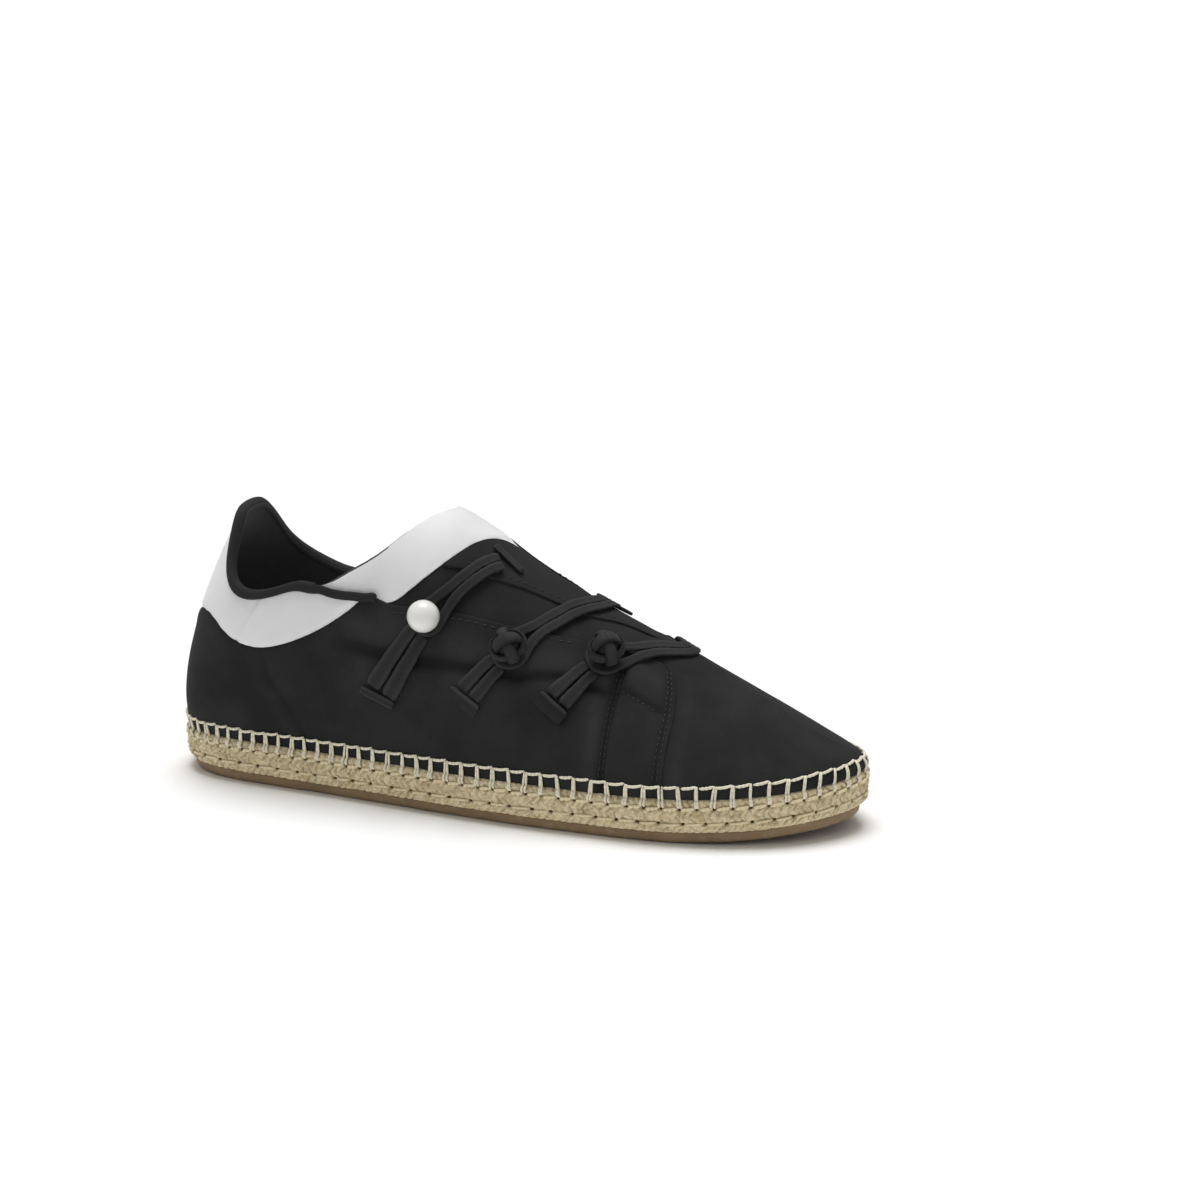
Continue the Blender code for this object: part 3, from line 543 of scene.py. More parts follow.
def cloth(name, deep, lit, pitch, relief, roughness, gloss, shade=0.5):
    """Woven fabric between two greys: threads that cross at a pitch, slubs along them, and a soft mottle.
    Where the raised mark says so it carries painted shade in its folds and painted light along raised edges,
    as strong as shade asks. Gloss gives its specular level, its sheen and the sheen's roughness."""
    made = Finish(name, Specular_IOR_Level=gloss[0], Sheen_Weight=gloss[1], Sheen_Roughness=gloss[2])
    lay = made.mark("lay", "Vector")
    along, over = (made.node("SeparateXYZ", {}, {"Vector": lay}, axis) for axis in "XY")
    crossing = 2 * math.pi / pitch
    weave = made.math("SINE", along * crossing) * made.math("SINE", over * crossing) * 0.5 + 0.5
    warp, weft = (made.noise(1.0, 2, 0.6, stretch, lay) for stretch in ((0.35, 2.4, 1), (2.4, 0.35, 1)))
    slubs = warp * 0.5 + weft * 0.5
    nap = made.noise(2600, 2, 0.6)
    mottle = made.ramp(made.noise(38, 3, 0.55), 0.3, 0.7)
    colour = made.mix(mottle * (1 - SLUB) + slubs * SLUB, paint(deep), paint(lit))
    # Painted shade and light: the raised mark darkens the cloth where it is low or turned under and pales it
    # on crests and rolled edges.
    dark, pale = ((level, level, level, 1) for level in (1 - shade, 1 + shade))
    raised = made.mix(made.ramp(made.mark("raised"), -1, 1), dark, pale)
    colour = made.mix(1.0, colour, raised, "MULTIPLY")
    made.wear(
        Base_Color=made.mix(weave * 0.25, colour, paint(lit)),
        Roughness=(roughness - 0.08) + nap * 0.16,
        Normal=made.bump(weave * 0.45 + slubs * 0.35 + nap * 0.2, relief, 0.8),
    )
    return made


def foam(inner, from_lateral, from_medial):
    """The footbed's top: a soft crown, dished under the heel."""
    border = share_of(np.minimum(from_lateral, from_medial), 0, CROWN_BORDER)
    heel, length, width = DISH
    heel = hill(inner[..., 0] - heel, length) * hill(inner[..., 1], width)
    inner[..., 2] += CROWN * np.sin(border * np.pi / 2) * (1 - 1.1 * heel)
    return inner


lining = cloth("lining twill", 72, 88, 0.8, 0.12, 0.85, (0.15, 0.03, 0.5))
points, faces = slab(layer(FOOTBED_PROFILE, *ring_of_ribs(FOOTBED_RIBS)[:2]), 30, over=foam)
piece("footbed", points, faces, [lining], "lining", ["insole"], lay=points)

# ---------------------------------------------------------------- upper
# One padded shell: black cotton quarters, vamp and saddle with a wrap-over flap, white satin at the collar
# and the throat, and a twill lining. Panels overlap as real steps, and seams pull the padding in.

FEATHER = 17.0  # height at which the cotton leaves the jute
WALL = 2.4
RECESS = 0.9  # throat band and tongue under the flap and the quarters
QUARTER_STEP, SADDLE_STEP = 0.7, 0.9
OPEN_END, COLLAR_END, PEAK = -74.0, -51.5, -28.0  # stations where binding, collar panel and opening end
FRONT_START = {-1: -22, 1: -7}  # station where the flap and the medial quarter meet the throat band
SATIN, SATIN_RELIEF = (1, 4), 0.45  # the satin panels, and how much of the padding's relief they show
BARE = 0.4  # a panel no wider than this is skipped where its neighbours meet
PANEL_ROWS = (46, 20, 14, 22, 24)
LINING_ROWS = 30
RIDGE = (  # station, x, y and z of each rib's upper end
    (-135, -93, 0, 137), (-118, -86, 0, 134), (-97, -70, 0, 128), (-70, -56, 1, 121), (-48, -41, 2, 114.5),
    (-30, -28.2, 3.9, 108.0), (-25, -23.6, 4, 107.0), (-12, -11.5, 4.9, 100.6), (10, 10, 6, 86.5),
    (45, 44, 7, 70), (80, 77, 8, 54.3), (110, 101, 8, 41.5), (128, 112, 8, 35.4), (135, 115, 8, 34.2),
)
LATERAL_RIBS = (  # station, swell and rise where a rib leaves the sole, shoulder and drop at its upper end
    (-135, 11, 26, 14, 26), (-130, 10.5, 27, 18, 25), (-118, 10, 30, 26, 21), (-97, 8, 34, 31, 12),
    (-70, 6, 38, 32, 5), (-48, 4.5, 38, 32, 1), (-25, 3.5, 34, 28, 0), (10, 3.5, 26, 26, 0),
    (45, 3.5, 20, 24, 0), (80, 4, 15, 20, 2), (110, 3, 10, 12, 3), (128, 3.5, 6.5, 9, 4), (135, 4, 6, 8, 3.8),
)
MEDIAL_RIBS = LATERAL_RIBS[:5] + (
    (-48, 4, 38, 30, 1), (-25, 3, 34, 24, 1), (10, 2.5, 28, 17, 2), (45, 3, 20, 15, 2),
    (80, 4, 14, 13, 2), (110, 3, 10, 10, 2.8), (128, 3.5, 6.5, 9, 3.9), (135, 4, 6, 8, 3.8),
)
TOPLINE = (  # station, height of the opening's edge on the lateral and the medial side
    (-135, 102.8, 102.8), (-133.5, 102.5, 102.6), (-130, 101.1, 101.5), (-126, 96, 98), (-122, 86.5, 92.5),
    (-118.5, 80.5, 87), (-112, 76, 80), (-104, 76, 75), (-95, 78.6, 71.8), (-85, 81, 70.8), (-75, 81, 71),
    (-69, 83.5, 73), (-61, 88, 77), (-48, 95.5, 87.5), (-36, 104.4, 100.6), (-31, 107.1, 105.5),
    (PEAK, 107.7, 107.7),
)
# Edges drawn on the last as station and rise, the share of the way up the rib.
COLLAR_PANEL = (
    (-135, 0.395), (-124.7, 0.413), (-117.4, 0.37), (-110.9, 0.333), (-103.6, 0.316), (-96.6, 0.309),
    (-85.5, 0.325), (-73.7, 0.359), (-64.1, 0.401), (-53.9, 0.464), (COLLAR_END, 0.495), (-45, 0.58),
)
LOWER = {
    -1: (
        (-75, 0.50), (-65, 0.487), (-49, 0.498), (-39.2, 0.487), (-14.8, 0.537), (3.3, 0.591),
        (31.6, 0.687), (51, 0.755), (62.7, 0.784), (76, 0.784), (135, 0.77),
    ),
    1: (
        (-75, 0.44), (-42, 0.447), (-24, 0.50), (-9.4, 0.58), (24, 0.53), (51, 0.55),
        (58, 0.70), (64.3, 0.755), (76, 0.755), (135, 0.77),
    ),
}
FLAP = {
    -1: (
        (-21.4, 0.667), (-14.2, 0.702), (-2.7, 0.740), (9.4, 0.790), (18.4, 0.813), (32.6, 0.836),
        (37.3, 0.878), (42.5, 0.908), (47.6, 0.931), (54.3, 0.95), (60, 0.96), (76, 0.96),
    ),
    1: ((-6, 0.975), (12, 0.945), (24.4, 0.830), (36.3, 0.737), (43.8, 0.629), (51, 0.55), (58, 0.77)),
}
BAND = {
    -1: ((-39.2, 0.487), (-28.6, 0.595), (-20.2, 0.699), (-14.8, 0.803), (-10, 0.93), (-6, 1.0)),
    1: ((-42, 0.447), (-23.8, 0.583), (-14.5, 0.685), (-10, 0.78), (-6, 1.0)),
}
SADDLE = (51.0, 72.6)  # stations of its back seam and of its front edge's foot
BEND_END = 96.0
BACK_SEAM, FRONT_SEAM = 49.4, 70.0  # stations where the saddle's two seams pull in
SADDLE_LEAN = {  # rise, and how far back of its foot the saddle's front edge lies there
    -1: ((0.15, 0), (0.5, 0.9), (0.64, 3.0), (0.75, 6.2), (0.784, 9.5), (1, 9.0)),
    1: ((0.5, 0), (0.6, 0.6), (0.70, 2.2), (0.74, 5.0), (0.76, 8.5), (1, 9.0)),
}
QUILTING = (
    (-64.3, 0.34), (-42.4, 0.336), (-26.5, 0.345), (-8.1, 0.379), (14.5, 0.439), (28.4, 0.497), (43.4, 0.504),
)
SADDLE_SEAM = {
    -1: ((51.2, 0.548), (59.4, 0.534), (66.4, 0.515)),
    1: ((51.2, 0.51), (60, 0.475), (69.9, 0.44)),
}
QUARTER_SIDE, SADDLE_SIDE = 90, 72  # about how many millimetres a whole rise measures there
# Upright seams, as rise and station.
HEEL_SEAM = ((0.051, -74.1), (0.139, -80.8), (0.231, -91.8), (0.30, -95))
PANEL_SEAM = ((0.33, -108.2), (0.427, -104.6), (0.47, -103.6))

SPINE = [Curve(RIDGE, k) for k in (1, 2, 3)]
RIB = [{-1: Curve(LATERAL_RIBS, k), 1: Curve(MEDIAL_RIBS, k)} for k in (1, 2, 3, 4)]
TOP = {-1: Curve(TOPLINE, 1), 1: Curve(TOPLINE, 2)}


def line(table, u):
    """A drawn edge, with its corners eased."""
    return sum(read(table, station_of(u) + reach) for reach in (-4, -2, 0, 2, 4)) / 5


def rib_point(u, rise, side):
    """A rib is one cubic arc from the feather line, swelling out and up, then over to the spine."""
    u, rise, side = np.broadcast_arrays(u, rise, side)
    out, up = outward(u, side), np.array([0, 0, 1.0])
    swell, lift, shoulder, drop = (of_side(curves, u, side)[..., None] for curves in RIB)
    edge = plan(u, side)
    foot = np.concatenate([edge, (FEATHER + spring(edge[..., 0]))[..., None]], -1) - out * 1.2
    crest = np.stack([curve(u) for curve in SPINE], -1)
    low, high = foot + out * swell + up * lift, crest + out * shoulder - up * drop
    t = rise[..., None]
    return (1 - t) ** 3 * foot + 3 * t * (1 - t) ** 2 * low + 3 * t**2 * (1 - t) * high + t**3 * crest


def skin(u, across):
    """Point on the last. Across runs from -1 at the lateral sole over 0 at the ridge to 1 at the medial."""
    u, across = np.broadcast_arrays(u, across)
    across = np.where((u < 0) | (u > 1), -across, across)
    u = np.where(u < 0, -u, np.where(u > 1, 2 - u, u))
    return rib_point(u, 1 - np.abs(across), np.where(across > 0, 1, -1))


def normal(u, across):
    step = 2e-3
    u, across = np.broadcast_arrays(u, across)
    across = np.where((np.abs(across) < 2 * step) & ((u < step) | (u > 1 - step)), 2 * step, across)
    along_u = skin(u + step, across) - skin(u - step, across)
    return unit(np.cross(along_u, skin(u, across + step) - skin(u, across - step)))


def rise_at(u, side, height):
    """The share of the rib that lies under a height."""
    low = np.zeros(np.broadcast(u, height).shape)
    high = low + 1
    for _ in range(26):
        middle = (low + high) / 2
        below = rib_point(u, middle, side)[..., 2] < height
        low, high = np.where(below, middle, low), np.where(below, high, middle)
    return high


def top_rise(u, side):
    return np.where(station_of(u) > PEAK - 0.01, 1.0, rise_at(u, side, TOP[side](u)))


def bent(x, rise, side):
    """Station of a point up the rib: ribs near the saddle's front edge lean back with it."""
    back, front = SADDLE
    weight = np.where(x < front, (x - back) / (front - back), (BEND_END - x) / (BEND_END - front))
    return x - np.clip(weight, 0, 1) * read(SADDLE_LEAN[side], rise)


def roll_over(distance, radius):
    """How far a folded edge has dropped at a distance inside it."""
    inside = radius - np.clip(distance, 0, radius)
    return radius - np.sqrt(radius**2 - inside**2)


def panels(u, side):
    """Up each rib, the rises where its five panels meet, and the height of each: quarter or saddle, collar
    panel, tongue, flap, throat band."""
    x = station_of(u)

    def crossing(table):
        rise = np.full_like(u, 0.7)
        for _ in range(6):
            rise = line(table, turn(bent(x, rise, side)))
        return rise

    top = top_rise(u, side)
    lower = np.where(x < OPEN_END, top, np.minimum(crossing(LOWER[side]), top))
    collar = np.where(x < COLLAR_END, np.minimum(line(COLLAR_PANEL, u), lower), lower)
    band = np.clip(crossing(BAND[side]), lower, top)
    flap = np.where(x < FRONT_START[side], band, np.clip(crossing(FLAP[side]), lower, band))
    on_saddle = (x > SADDLE[0] - 0.005) & (x < SADDLE[1] + 0.005)
    saddle = SADDLE_STEP - roll_over(np.minimum(x - SADDLE[0], SADDLE[1] - x), 0.6)
    rolled = 1 - 0.65 * hill(x + 30, 7)  # the band stands fuller where it rolls over the peak
    throat = np.where(x > OPEN_END, -RECESS * rolled * np.clip((-6 - x) / 14, 0.25, 1), 0.0)
    if side < 0:
        body = np.where(on_saddle, saddle, 0.0)
        tongue = np.where(x > OPEN_END, -RECESS * share_of(x, 62, -8), 0.0)
        front = np.where(x < FRONT_START[side], -RECESS * rolled, 0.0)
    else:
        quarter = np.where(x < SADDLE[0] + 0.005, QUARTER_STEP * share_of(x, -10, 25), 0.0)
        body = np.where(on_saddle, saddle, quarter)
        tongue, front = quarter, np.where(x > FRONT_START[side], 0.0, quarter)
    rises = np.array([np.zeros_like(u), collar, lower, flap, band, top])
    heights = [body]
    for k, level in enumerate((body, tongue, front, throat), 1):
        heights.append(np.where(rises[k + 1] - rises[k] < 1e-6, heights[-1], level))
    return rises, np.array(heights)


def sewn(distance, depth, width, puff, beside, reach):
    """Relief of a seam: it pulls the padding in, and the cloth puffs beside it."""
    return puff * hill(distance - beside, reach) - depth * hill(distance, width)


def padding(x, rise, side):
    """The cotton's soft relief: quilting, seams that pull in and puffed panels."""
    x, rise = np.broadcast_arrays(x, rise)
    quilted = (rise - read(QUILTING, x)) * QUARTER_SIDE
    quilt = sewn(quilted, 1.0, 1.8, 0.45, 6, 4.5) + 0.45 * 0.7 * hill(quilted + 6, 4.5)
    relief = quilt * share_of(x, -66, 16) * share_of(x, 48, -5) * (1 if side < 0 else 0.5)
    seam_top = 0.72 if side < 0 else 0.56
    relief = relief + sewn(x - BACK_SEAM, 0.65, 1.5, 0.35, -4.9, 2.6) * share_of(rise, seam_top, -0.03)
    relief = relief + sewn(x - FRONT_SEAM, 0.4, 1.2, 0.3, 7, 2.6) * share_of(rise, 0.8, -0.03)
    crossed = (rise - read(SADDLE_SEAM[side], x)) * SADDLE_SIDE
    puff = hill(crossed - 7.5, 5) * np.exp(-(((x - 60) / 7) ** 4))
    relief = relief + (1.2 * puff - 0.7 * hill(crossed, 1.4)) * share_of(x, 51, 1.5) * share_of(x, 69.5, -2)
    back = (x - read(HEEL_SEAM, rise)) * 0.8
    return relief + sewn(back, 0.3, 1.1, 0.15, -4, 2.4) * share_of(rise, 0.3, -0.04)


def slack(x, rise, side):
    """Slight waves of the cotton, which is tight over the toes."""
    wide = 0.55 * grain(41, (x + 140) / 22, side * (1 - rise) * 3.4 + 20)
    narrow = 0.2 * grain(42, (x + 140) / 8, side * (1 - rise) * 9 + 30)
    return (wide + narrow) * share_of(rise, 0, 0.05) * np.clip((115 - x) / 50, 0.35, 1)


def raised_by(level, x, rise, side, panel):
    """Height of a panel's cloth over the last. A panel's step fades in above the sole."""
    relief = padding(x, rise, side) + slack(x, rise, side)
    return level * share_of(rise, 0, 0.06) + relief * (SATIN_RELIEF if panel in SATIN else 1.0)


def over_last(x, rise, side, height):
    """Point at a height over the last, up a rib that leans with the saddle, and the way out."""
    u, across = turn(bent(x, rise, side)), side * (1 - rise)
    out = normal(u, across)
    return skin(u, across) + out * height[..., None], out


def bands_of_rows(length, rows):
    """Shares up a panel so many millimetres long, close together at both of its edges."""
    close = np.array([0, 0.12, 0.3, 0.55, 0.95, 1.6])
    start = close * np.minimum(1, length / 4.5)
    inner = np.linspace(0, 1, rows - 9)[1:-1] * (length - 2 * start[:, -1:])
    rows_up = np.concatenate([start, start[:, -1:] + inner, length - start[:, ::-1]], 1)
    return rows_up / np.maximum(length, 1e-9)


def rib_places():
    """Turns of the upper's ribs, even round the sole and paired at each step across it."""
    even = even_turns(UPPER_RIBS)
    edges = [-74.02, -73.98, COLLAR_END, -22.02, -21.98, -7.02, -6.98, -28.01, -27.99]
    for at, way in ((SADDLE[0], 1), (SADDLE[1], -1)):
        edges += [at - 0.01 * way, at, *(at + way * np.array([0.07, 0.18, 0.32, 0.6, 1.1]))]
    edges = turn(np.array(edges))
    kept = even[np.min(np.abs(even[:, None] - edges), axis=1) > 0.0012]
    return np.sort(np.concatenate([kept, edges, turn(PEAK)[None]]))


def outer_rows(u, side):
    """The outside of one half of the upper: rise, height, panel and length up each rib."""
    rises, heights = (table[..., None] for table in panels(u, side))
    x = station_of(u)[:, None]
    stretch = run_along(rib_point(u[:, None], np.linspace(0, 1, 30), side))[:, -1:]
    all_rises, all_heights, zones = [], [], []
    lengths = np.diff(rises, axis=0) * stretch
    for k, (length, rows) in enumerate(zip(lengths, PANEL_ROWS)):
        share = bands_of_rows(length, rows)
        rise = rises[k] + (rises[k + 1] - rises[k]) * share
        run_in, run_out = share * length, (1 - share) * length
        height = raised_by(heights[k], x, rise, side, k)
        for way, run in ((-1, run_in), (1, run_out)):
            bare, other = length > BARE, k + way
            while 0 <= other < len(PANEL_ROWS):
                meets = bare & (lengths[other] > BARE)
                step = heights[k] - heights[other]
                folded = roll_over(run, np.clip(step * 0.75, 1e-6, 0.5))
                height = height - np.where(meets & (step > 0.05), folded, 0)
                if {k, other} == {0, 1}:
                    height = height + np.where(meets, sewn(run, 0.5, 0.8, 0.35, 3, 2.5), 0)
                bare = bare & (lengths[other] <= BARE)
                other += way
        if k in SATIN:
            wide = length > 4
            tuck = np.sin(x * 1.5 + 2 * grain(51, (x + 140) / 9))
            tuck = tuck * np.exp(-np.minimum(run_in, run_out) / 1.8)
            height = height + (0.14 * tuck + 0.35 * np.sin(np.pi * share)) * wide
            if k == 1:
                height = height + sewn((x - read(PANEL_SEAM, rise)) * 0.9, 0.6, 0.8, 0.25, 2.4, 1.6) * wide
        if k:
            height = np.where(length < 1e-3, all_heights[-1][:, -1:], height)
        all_rises.append(rise)
        all_heights.append(height)
        zones += [k] * rise.shape[1]
    return np.concatenate(all_rises, 1), np.concatenate(all_heights, 1), np.array(zones), stretch


def upper_half(side):
    """Points up each rib of one half, outside first and then down the lining, with their laid cloth."""
    u = rib_places()
    rises, heights, zones, stretch = outer_rows(u, side)
    x = station_of(u)[:, None]
    outer, _ = over_last(x, rises, side, heights)
    outer[:, 0, 2] = skin(u, side * (1 - rises[:, 0]))[:, 2]
    run = np.interp(u if side < 0 else 2 - u, WAY, RUN)[:, None]
    down = np.linspace(1, 0, LINING_ROWS) * np.ones_like(u)[:, None]
    rise = down * rises[:, -1:]
    plump = 0.5 * np.sin(share_of(down, 1, -0.3) * np.pi) + 0.15 * grain(61, (x + 140) / 11, down * 6)
    inner, _ = over_last(x, rise, side, -WALL - plump * (down < 0.999) * (down > 0.05))
    inner[:, -1, 2] = outer[:, 0, 2]
    # The padding's relief is kept as the raised mark, for painted shade in its valleys and painted light on
    # its puffs; the lining gets none.
    raised = np.concatenate([padding(x, rises, side) * 1.3, 0 * rise], 1)
    laid = laid_out(run, np.concatenate([rises, rise], 1) * stretch).reshape(*raised.shape, 3)
    return u, np.concatenate([outer, inner], 1), laid, raised, zones


cotton = cloth("black cotton", 30, 48, 0.62, 0.2, 0.86, (0.14, 0.02, 0.4))
satin = cloth("white satin", 226, 240, 0.5, 0.07, 0.5, (0.3, 0.05, 0.35), shade=0.12)

u, *lateral, zones = upper_half(-1)
medial = upper_half(1)[1:-1]
ribs, laid, raised = (np.concatenate([near, far[-2:0:-1]]) for near, far in zip(lateral, medial))
stations = station_of(np.concatenate([u, u[-2:0:-1]]))
count, rows, _ = ribs.shape
closed = stations > PEAK - 0.02
near = numbered(ribs)
far = np.roll(near, -1, 0)
quads = np.stack([near, far, np.roll(far, -1, 1), np.roll(near, -1, 1)], -1)
rim = len(zones) - 1
keep = np.ones((count, rows), bool)
keep[:, rim] = ~(closed & np.roll(closed, -1))
finish_of_row = np.concatenate([np.isin(zones, SATIN).astype(int), np.full(rows - len(zones), 2)])
finish_of_row[rim] = 2
finish_of_face = np.tile(finish_of_row, (count, 1))
for station, edge_rows in ((-40, 2), (-46, 4)):  # the lining rolls out over the band's free edge
    finish_of_face[~closed & (stations < station), rim - edge_rows : rim] = 2
finish_of_face[stations > -42, rim] = 1
finish_of_face[np.ix_(stations > -51, np.flatnonzero(zones == 1))] = 0
finishes, zones = [cotton, satin, lining], finish_of_face[keep]
quads = quads[keep].tolist()
# The raised mark paints shade and light on the shell's padding.
piece("upper_shell", ribs, quads, finishes, "cotton", ["upper"], zones, lay=laid, raised=raised)

FINE_TURNS = np.linspace(0, 1, 3001)
PANELS = {side: panels(FINE_TURNS, side) for side in (-1, 1)}

# ---------------------------------------------------------------- sole stitches
# Cream waxed cotton twine. A blanket stitch holds the upper to the jute: doubled legs over the edge, joined
# along their tops, with a running stitch at their feet and another along the lower seam of the jute.

JUTE_TOP, CROSSING = 16.9, (16.3, 1.2)  # where stitches leave the jute: its top, and start and reach
LEG = (  # height, how far it stands off, and its thickness
    (14.0, -0.5, 0.8), (14.5, 0.35, 0.95), (15.3, 0.75, 1.02), (16.1, 0.95, 1.0), (17.0, 0.85, 0.95),
    (18.0, 0.65, 0.9), (19.2, 0.55, 0.85), (20.4, 0.5, 0.8), (21.4, 0.45, 0.78), (21.9, 0.2, 0.6),
)


def spun(name, deep, lit):
    """Twisted waxed thread."""
    made = Finish(name, Roughness=0.55, Sheen_Weight=0.15, Sheen_Roughness=0.5)
    ply = made.noise(1.0, 2, 0.6, (1.1, 3.2, 1), made.mark("lay", "Vector"))
    made.wear(
        Base_Color=made.mix(made.ramp(ply, 0.3, 0.75), deep, lit),
        Normal=made.bump(ply * 0.6 + made.noise(2400, 2) * 0.4, 0.14, 0.7),
    )
    return made


twine = spun("waxed twine", paint(216, 207, 178), paint(253, 249, 230))
seam_twine = spun("jute thread", paint(210, 192, 148), paint(250, 238, 204))


def over_edge(run, height, off):
    """Point on the sole's wall, or above the jute on the upper, and the way out."""
    run, height = np.broadcast_arrays(run, height)
    u, side = round_sole(run)
    wall, out = sole_wall(run, np.minimum(height, JUTE_TOP), off)
    rise = rise_at(u, side, height + spring(wall[..., 0]))
    across = side * (1 - rise)
    share = share_of(height, *CROSSING)[..., None]
    facing = normal(u, across)
    lateral, medial = (np.interp(u, FINE_TURNS, PANELS[half][1][0]) for half in (-1, 1))
    lift = np.where(side < 0, lateral, medial) * share_of(rise, 0, 0.06)
    above = skin(u, across) + facing * (lift + off)[..., None]
    return wall * (1 - share) + above * share, out * (1 - share) + facing * share


dice = np.random.default_rng(8)
count = len(LEGS)
heights, off, thick = np.array(LEG).T
share = np.linspace(0, 1, len(heights))
lean = dice.normal(0, 0.28, count)[:, None] * (share - 0.5) * 2
spread = np.abs(dice.normal(0.5, 0.16, count))[:, None] * (1.15 - 0.55 * share)
run = np.concatenate([LEGS[:, None] + lean + strand * spread for strand in (-1, 1)])
paths, outs = over_edge(run, heights + 0 * run, off + 0 * run)
points, faces, laid = threads(paths, outs, thick, 0.85, 8, 2.0)
piece("blanket_stitch_legs", points, faces, [twine], "cord", lay=laid)


def running_stitch(name, finish, places, level, gap, width, off, tilt, bow=0.0):
    """One thread from each place to the next, sunk at both ends and a little askew, with a gap at both."""
    ends = np.append(places[1:], places[0] + ROUND)
    share = np.linspace(0, 1, 9)
    gaps = np.array(gap) * (1 + 0.25 * dice.normal(0, 1, (len(places), 2)))
    run = places[:, None] + gaps[:, :1] + (ends - places - gaps.sum(1))[:, None] * share
    askew = tilt * (share - 0.5) + dice.normal(0, 0.12, (len(places), 1)) + bow * np.sin(np.pi * share)
    sunk = off * np.sin(np.pi * np.clip(share, 0.02, 0.98)) ** 0.45 - 0.3 * (np.abs(share - 0.5) > 0.49)
    paths, outs = over_edge(run, level + askew, sunk + 0 * askew)
    thick = width * np.array([0.6, 0.9, 1, 1, 1, 1, 1, 0.9, 0.6])
    points, faces, laid = threads(paths, outs, thick, thick * 0.85, 8, 2.2)
    piece(name, points, faces, [finish], "cord", lay=laid)


running_stitch("blanket_stitch_top", twine, LEGS, 21.75, (0.5, 0.35), 1.1, 0.62, 0.6, -0.25)
running_stitch("seam_stitch_upper", seam_twine, LEGS, SEAMS[1] - 0.1, (1.2, 0.6), 1.25, 0.95, 0.5)
running_stitch("seam_stitch_lower", seam_twine, np.sort(LOW_HOLES), SEAMS[0], (1.0, 0.8), 1.05, 0.7, 0.4)

# ---------------------------------------------------------------- topstitching
# Black thread, in short stitches sunk into the cotton at their ends: twin rows on both of the saddle's seams,
# a row across the saddle, and single rows along the quarter's top edge and the flap.

BACK_ROWS, FRONT_ROWS = (48.6, 50.1), (69.2, 70.9)  # stations of the twin rows on the saddle's seams
STITCH_SHARE = 0.72  # of the pitch that shows as thread
STITCH_DEPTHS = np.array([-0.2, 0.05, 0.12, 0.05, -0.2])

black_thread = Finish("black thread", Roughness=0.5, Specular_IOR_Level=0.3)
black_thread.wear(Base_Color=black_thread.mix(black_thread.noise(900, 2), paint(24), paint(52)))


def on_panel(x, rise, side, panel, off):
    """Point on the upper's outside, on a panel, and the way out."""
    return over_last(x, rise, side, off + raised_by(panels(turn(x), side)[1][panel], x, rise, side, panel))


def topstitch(marks, side, panel, pitch=2.5):
    """Stitches along a drawn line of station and rise."""
    share = np.linspace(0, 1, 160)
    x, rise = (np.interp(share, np.linspace(0, 1, len(marks)), column) for column in np.array(marks, float).T)
    run = run_along(on_panel(x, rise, side, panel, 0.0)[0])
    starts = np.arange(0.4, run[-1] - 2.0, pitch)
    at = np.interp(starts[:, None] + pitch * STITCH_SHARE * np.linspace(0, 1, 5), run, share)
    x, rise = np.interp(at, share, x), np.interp(at, share, rise)
    return on_panel(x, rise, side, panel, STITCH_DEPTHS + 0 * x)


rows = []
for side, back_top, front_top, first in ((-1, 0.735, 0.765, 3), (1, 0.53, 0.735, 1)):
    for x in BACK_ROWS:
        rows.append(topstitch([(x, 0.09), (x, 0.3), (x, back_top)], side, 0))
    for x in FRONT_ROWS:
        rows.append(topstitch([(x, 0.12), (x, 0.4), (x, front_top)], side, 0))
    rows.append(topstitch([(x, rise - 0.012) for x, rise in SADDLE_SEAM[side]], side, 0, 2.2))
    rows.append(topstitch([(x, rise - 0.022) for x, rise in LOWER[side][first:] if x < 50], side, 0, 3.2))
rows.append(topstitch([(x, rise + 0.03) for x, rise in FLAP[-1][1:9]], -1, 3, 3.2))
rows.append(topstitch([(x, rise - 0.03) for x, rise in FLAP[1][1:6]], 1, 0, 2.6))
paths, outs = (np.concatenate(parts) for parts in zip(*rows))
points, faces, _ = threads(paths, outs, [0.3, 0.5, 0.52, 0.5, 0.3], 0.34, 6)
piece("topstitching", points, faces, [black_thread], "cotton")

# ---------------------------------------------------------------- collar binding
# Black cotton tape folded over the rim round the heel. On both sides it comes outside the throat band, lies
# along the quarter's top edge and ends in a small fold.

BINDING = {  # sections as distances out of the skin and above the edge, by station
    -92: (
        (0.45, -3.2), (1.4, -3.1), (1.55, 0.3), (0.6, 1.2), (-1.5, 1.2),
        (-2.8, 0.6), (-3.1, -1.0), (-2.45, -3.6), (-2.3, 0.2), (0.45, 0.4),
    ),
    -80: (
        (0.45, -3.2), (1.4, -3.1), (1.6, 0.4), (0.6, 1.3), (-2.9, 1.3),
        (-4.1, 0.4), (-4.0, -3.2), (-3.0, -3.3), (-2.9, 0.4), (0.45, 0.4),
    ),
    -78.5: (
        (0.45, -3.2), (1.4, -3.1), (1.6, 0.4), (0.6, 1.3), (-1.2, 1.3),
        (-3.3, 1.2), (-3.5, 0.8), (-3.2, 0.45), (-2.8, 0.4), (0.45, 0.4),
    ),
    -77: (
        (0.45, -3.2), (1.4, -3.1), (1.6, 0.4), (1.1, 1.3), (0.9, 1.3),
        (0.6, 1.2), (0.45, 1.0), (0.4, 0.8), (0.4, 0.6), (0.4, 0.4),
    ),
    -75.5: (
        (0.4, -3.3), (1.2, -3.2), (1.6, -1.6), (1.3, 0.1), (1.0, 0.2),
        (0.8, 0.2), (0.6, 0.2), (0.4, 0.1), (0.4, -0.9), (0.4, -1.8),
    ),
}
SECTIONS = np.array([BINDING[station] for station in sorted(BINDING)]).transpose(2, 0, 1)
INNER_EDGE = slice(5, 8)  # the section's faces that show the lining round the open collar
BINDING_END = -45.5
